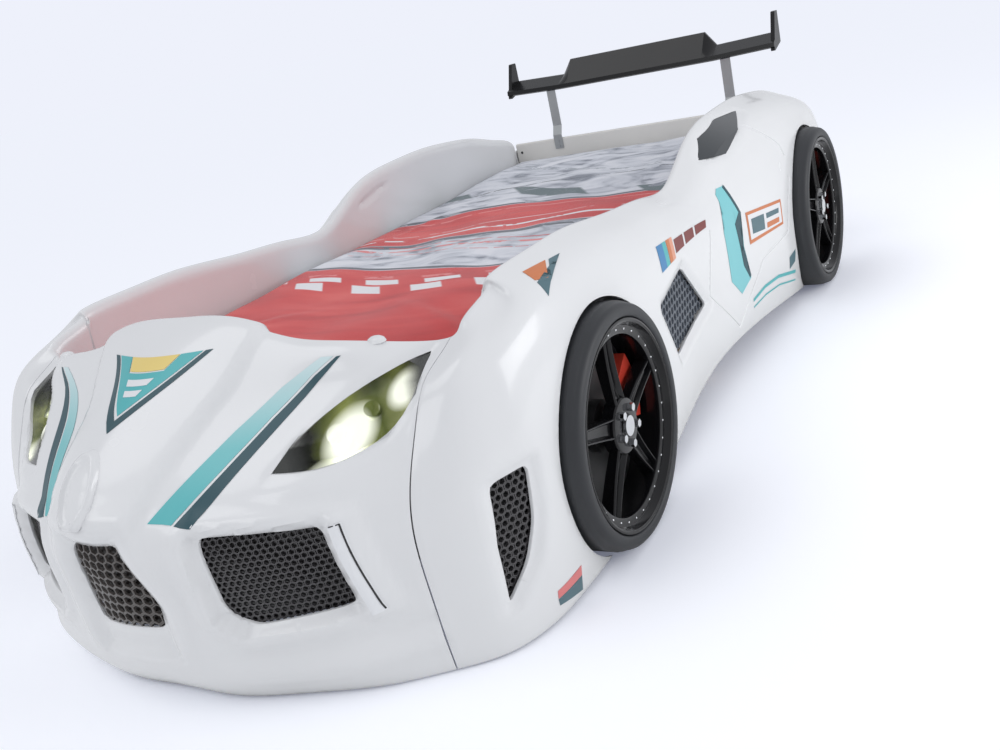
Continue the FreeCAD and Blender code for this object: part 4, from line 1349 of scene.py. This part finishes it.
def rimParts(end, y):
    # barrel, spokes, hub and rivets, all about the wheel's centre
    inX, face, r = lowOf("tyre_%s_left" % end).x, highOf("rim_%s_left" % end).x, wheel["rim"]
    ring = [(inX + 0.001, r)] + stepped(face, r, barrel["face"]) + stepped(inX, r, barrel["back"])
    spokeFace = face - wheel["spokeSink"]
    turns = [2 * math.pi * k / wheel["spokes"] for k in range(wheel["spokes"])]
    spokes = repeated("spokes", [(Vector((0, y, wheelZ)), Euler((turn, 0, 0))) for turn in turns],
                      spokeItem(spokeFace), glossBlack, angle=25)
    bevelled(spokes, wheel["edge"], 2, 30)
    hub = ([(spokeFace - 0.024, 0.0)] + stepped(spokeFace, wheel["hub"], hubSteps) + [(spokeFace - 0.006, 0.0)])
    rivets = []
    for k in range(wheel["rivets"]):
        turn, reach = 2 * math.pi * k / wheel["rivets"], wheel["rivetRing"]
        spot = Vector((face - wheel["rivetSink"], y + reach * math.sin(turn), wheelZ + reach * math.cos(turn)))
        rivets.append((spot, facing((1, 0, 0))))
    return [turned("barrel", ring, (y, wheelZ), glossBlack, 144, 30), spokes,
            turned("hub", hub, (y, wheelZ), glossBlack, 64, 30),
            repeated("rivets", rivets, domeItem(*wheel["rivet"], 8), chrome)]


for end, y in (("front", frontY), ("rear", rearY)):
    tyre = tyreRing("tyre%sLeft" % end.capitalize(), end, y)
    rim = joined("rim%sLeft" % end.capitalize(), rimParts(end, y))
    for piece, finish, kind in ((tyre, "tyre", "tyre"), (rim, "rim_black", "rim")):
        place(piece, "bed", finish, "%s_%s_left" % (kind, end))
        twin = mirroredCopy(piece, piece.name.replace("Left", "Right"))
        place(twin, "bed", finish, "%s_%s_right" % (kind, end))

# small nubs on the hood's rim and the screw hole in the rear panel
nub = {"x": 0.343, "y": boardFrontY - 0.016, "half": (0.016, 0.012, 0.009)}
screwHole = {"x": -0.436, "z": 0.392, "radius": 0.0045, "sink": 0.0008}
spot = onSkin(plainSkin, 2, nub["x"], nub["y"])[0]
bump = domeItem(1.0, 1.0, 20)
bump.name = "rimNubLeft"
for vertex in bump.data.vertices:
    vertex.co = Vector([value * half for value, half in zip(vertex.co, nub["half"])]) + spot
bump.data.materials.append(shellWhite)
sharpen(bump, 60)
place(bump, "bed", "body_white")
place(mirroredCopy(bump, "rimNubRight"), "bed", "body_white")
hole = domeItem(screwHole["radius"], screwHole["sink"], 20)
hole.name = "panelHole"
for vertex in hole.data.vertices:
    x, y, z = vertex.co
    vertex.co = (x + screwHole["x"], panelY - z, screwHole["z"] + y)
hole.data.materials.append(satinBlack)
place(fixNormals(hole), "bed", "board_cream")

# finishes for the frame's own nodes, by the start of their names, and the edges rounded on some
print("bed: finishes")
nodeLooks = {"head_board": panelCream, "foot_board": innerGrey, "cowl_shelf": shellWhite, "wing_strap": steel,
             "strap_screws": steel, "wing": wingBlack, "slat": timber, "centre_beam": timber, "middle_leg": timber,
             "corner_feet": timber, "quarter_window": windowGrey, "wheel_nuts": chrome, "brake_disc": satinBlack,
             "caliper": caliperRed, "headlamp_lens": lampLens, "headlamp_bowl": lampMirror, "lamp_unit": lampMirror}
nodeEdges = {"wing": 0.0025, "wing_strap_left": 0.0008, "wing_strap_right": 0.0008, "head_board": 0.0015,
             "foot_board": 0.0015, "cowl_shelf": 0.0015}
for name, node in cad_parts.items():
    chosen = next((material for start, material in nodeLooks.items() if name.startswith(start)), None)
    for wearing in node.material_slots if chosen else ():
        wearing.material = chosen
for name, width in nodeEdges.items():
    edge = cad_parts[name].modifiers.new("edge", "BEVEL")
    edge.width, edge.segments, edge.limit_method = width, 3, "ANGLE"
    edge.angle_limit = math.radians(25)
    edge.harden_normals = True

# floor, backdrop, lights and camera
print("bed: studio")
studio = {"seen": (0.855, 0.879, 0.965), "sky": (0.93, 0.95, 1.0), "skyPower": 0.70, "sun": 0.45,
          "sunSoft": 38, "sunWay": (0.42, 0.30, -1.0), "floor": (0.93, 0.935, 0.94), "floorLift": (0.13, 0.14, 0.187),
          "reach": 60.0}
areaLights = {"sideGlow": {"at": (3.0, 0.3, 1.2), "to": (0.5, 0.0, 0.25), "size": (2.6, 1.2), "power": 30},
              "noseGlow": {"at": (-0.6, -3.2, 2.0), "to": (0, -1.0, 0.3), "size": (1.8, 0.8), "power": 7}}
world = bpy.data.worlds.new("studioWorld")
bpy.context.scene.world = world
world.use_nodes = True
worldTree = world.node_tree
sky, backdrop = worldTree.nodes["Background"], worldTree.nodes.new("ShaderNodeBackground")
sky.inputs["Color"].default_value = (*studio["sky"], 1)
sky.inputs["Strength"].default_value = studio["skyPower"]
backdrop.inputs["Color"].default_value = (*studio["seen"], 1)
path, swap = worldTree.nodes.new("ShaderNodeLightPath"), worldTree.nodes.new("ShaderNodeMixShader")
for source, target in ((path.outputs["Is Camera Ray"], swap.inputs[0]), (sky.outputs[0], swap.inputs[1]),
                       (backdrop.outputs[0], swap.inputs[2]),
                       (swap.outputs[0], worldTree.nodes["World Output"].inputs[0])):
    worldTree.links.new(source, target)

# the floor is lifted a little where the camera sees it, so that it runs into the backdrop and keeps its shadow
floorLook = newMaterial("floorPale", studio["floor"], 1.0, spec=0.0)
floorTree = floorLook.node_tree
path, lift, total = (floorTree.nodes.new(kind) for kind in ("ShaderNodeLightPath", "ShaderNodeEmission",
                                                            "ShaderNodeAddShader"))
lift.inputs["Color"].default_value = (*studio["floorLift"], 1)
for source, target in ((path.outputs["Is Camera Ray"], lift.inputs["Strength"]),
                       (floorTree.nodes["Principled BSDF"].outputs[0], total.inputs[0]),
                       (lift.outputs[0], total.inputs[1]),
                       (total.outputs[0], floorTree.nodes["Material Output"].inputs[0])):
    floorTree.links.new(source, target)
corners = [(x * studio["reach"], y * studio["reach"], 0) for x, y in ((-1, -1), (1, -1), (1, 1), (-1, 1))]
floor = meshObject("floor", corners, [[0, 1, 2, 3]], floorLook, smooth=False)

sunData = bpy.data.lights.new("softSun", "SUN")
sunData.energy = studio["sun"]
sunData.angle = math.radians(studio["sunSoft"])
linked("softSun", sunData).rotation_euler = Vector(studio["sunWay"]).to_track_quat("-Z", "Y").to_euler()
for name, glow in areaLights.items():
    data = bpy.data.lights.new(name, "AREA")
    data.shape = "RECTANGLE"
    data.size, data.size_y = glow["size"]
    data.energy = glow["power"]
    light = linked(name, data)
    light.location = glow["at"]
    light.rotation_euler = (Vector(glow["to"]) - Vector(glow["at"])).to_track_quat("-Z", "Y").to_euler()

view = {"azimuth": 32.864, "elevation": 19.529, "roll": -13.66, "at": (1.261, -1.973, 0.884), "focal": 1030.6,
        "sensor": 36, "pixels": 1000}
az, el, roll = (math.radians(view[key]) for key in ("azimuth", "elevation", "roll"))
back = Vector((math.sin(az) * math.cos(el), -math.cos(az) * math.cos(el), math.sin(el)))
level = (-back).cross(Vector((0, 0, 1))).normalized()
upright = level.cross(-back)
cameraData = bpy.data.cameras.new("photoCamera")
cameraData.sensor_width = view["sensor"]
cameraData.lens = view["focal"] * view["sensor"] / view["pixels"]
camera = linked("photoCamera", cameraData)
camera.matrix_world = Matrix((level * math.cos(roll) + upright * math.sin(roll),
                              upright * math.cos(roll) - level * math.sin(roll), back)).transposed().to_4x4()
camera.location = view["at"]
bpy.context.scene.camera = camera
bpy.context.scene.view_settings.view_transform = "Standard"
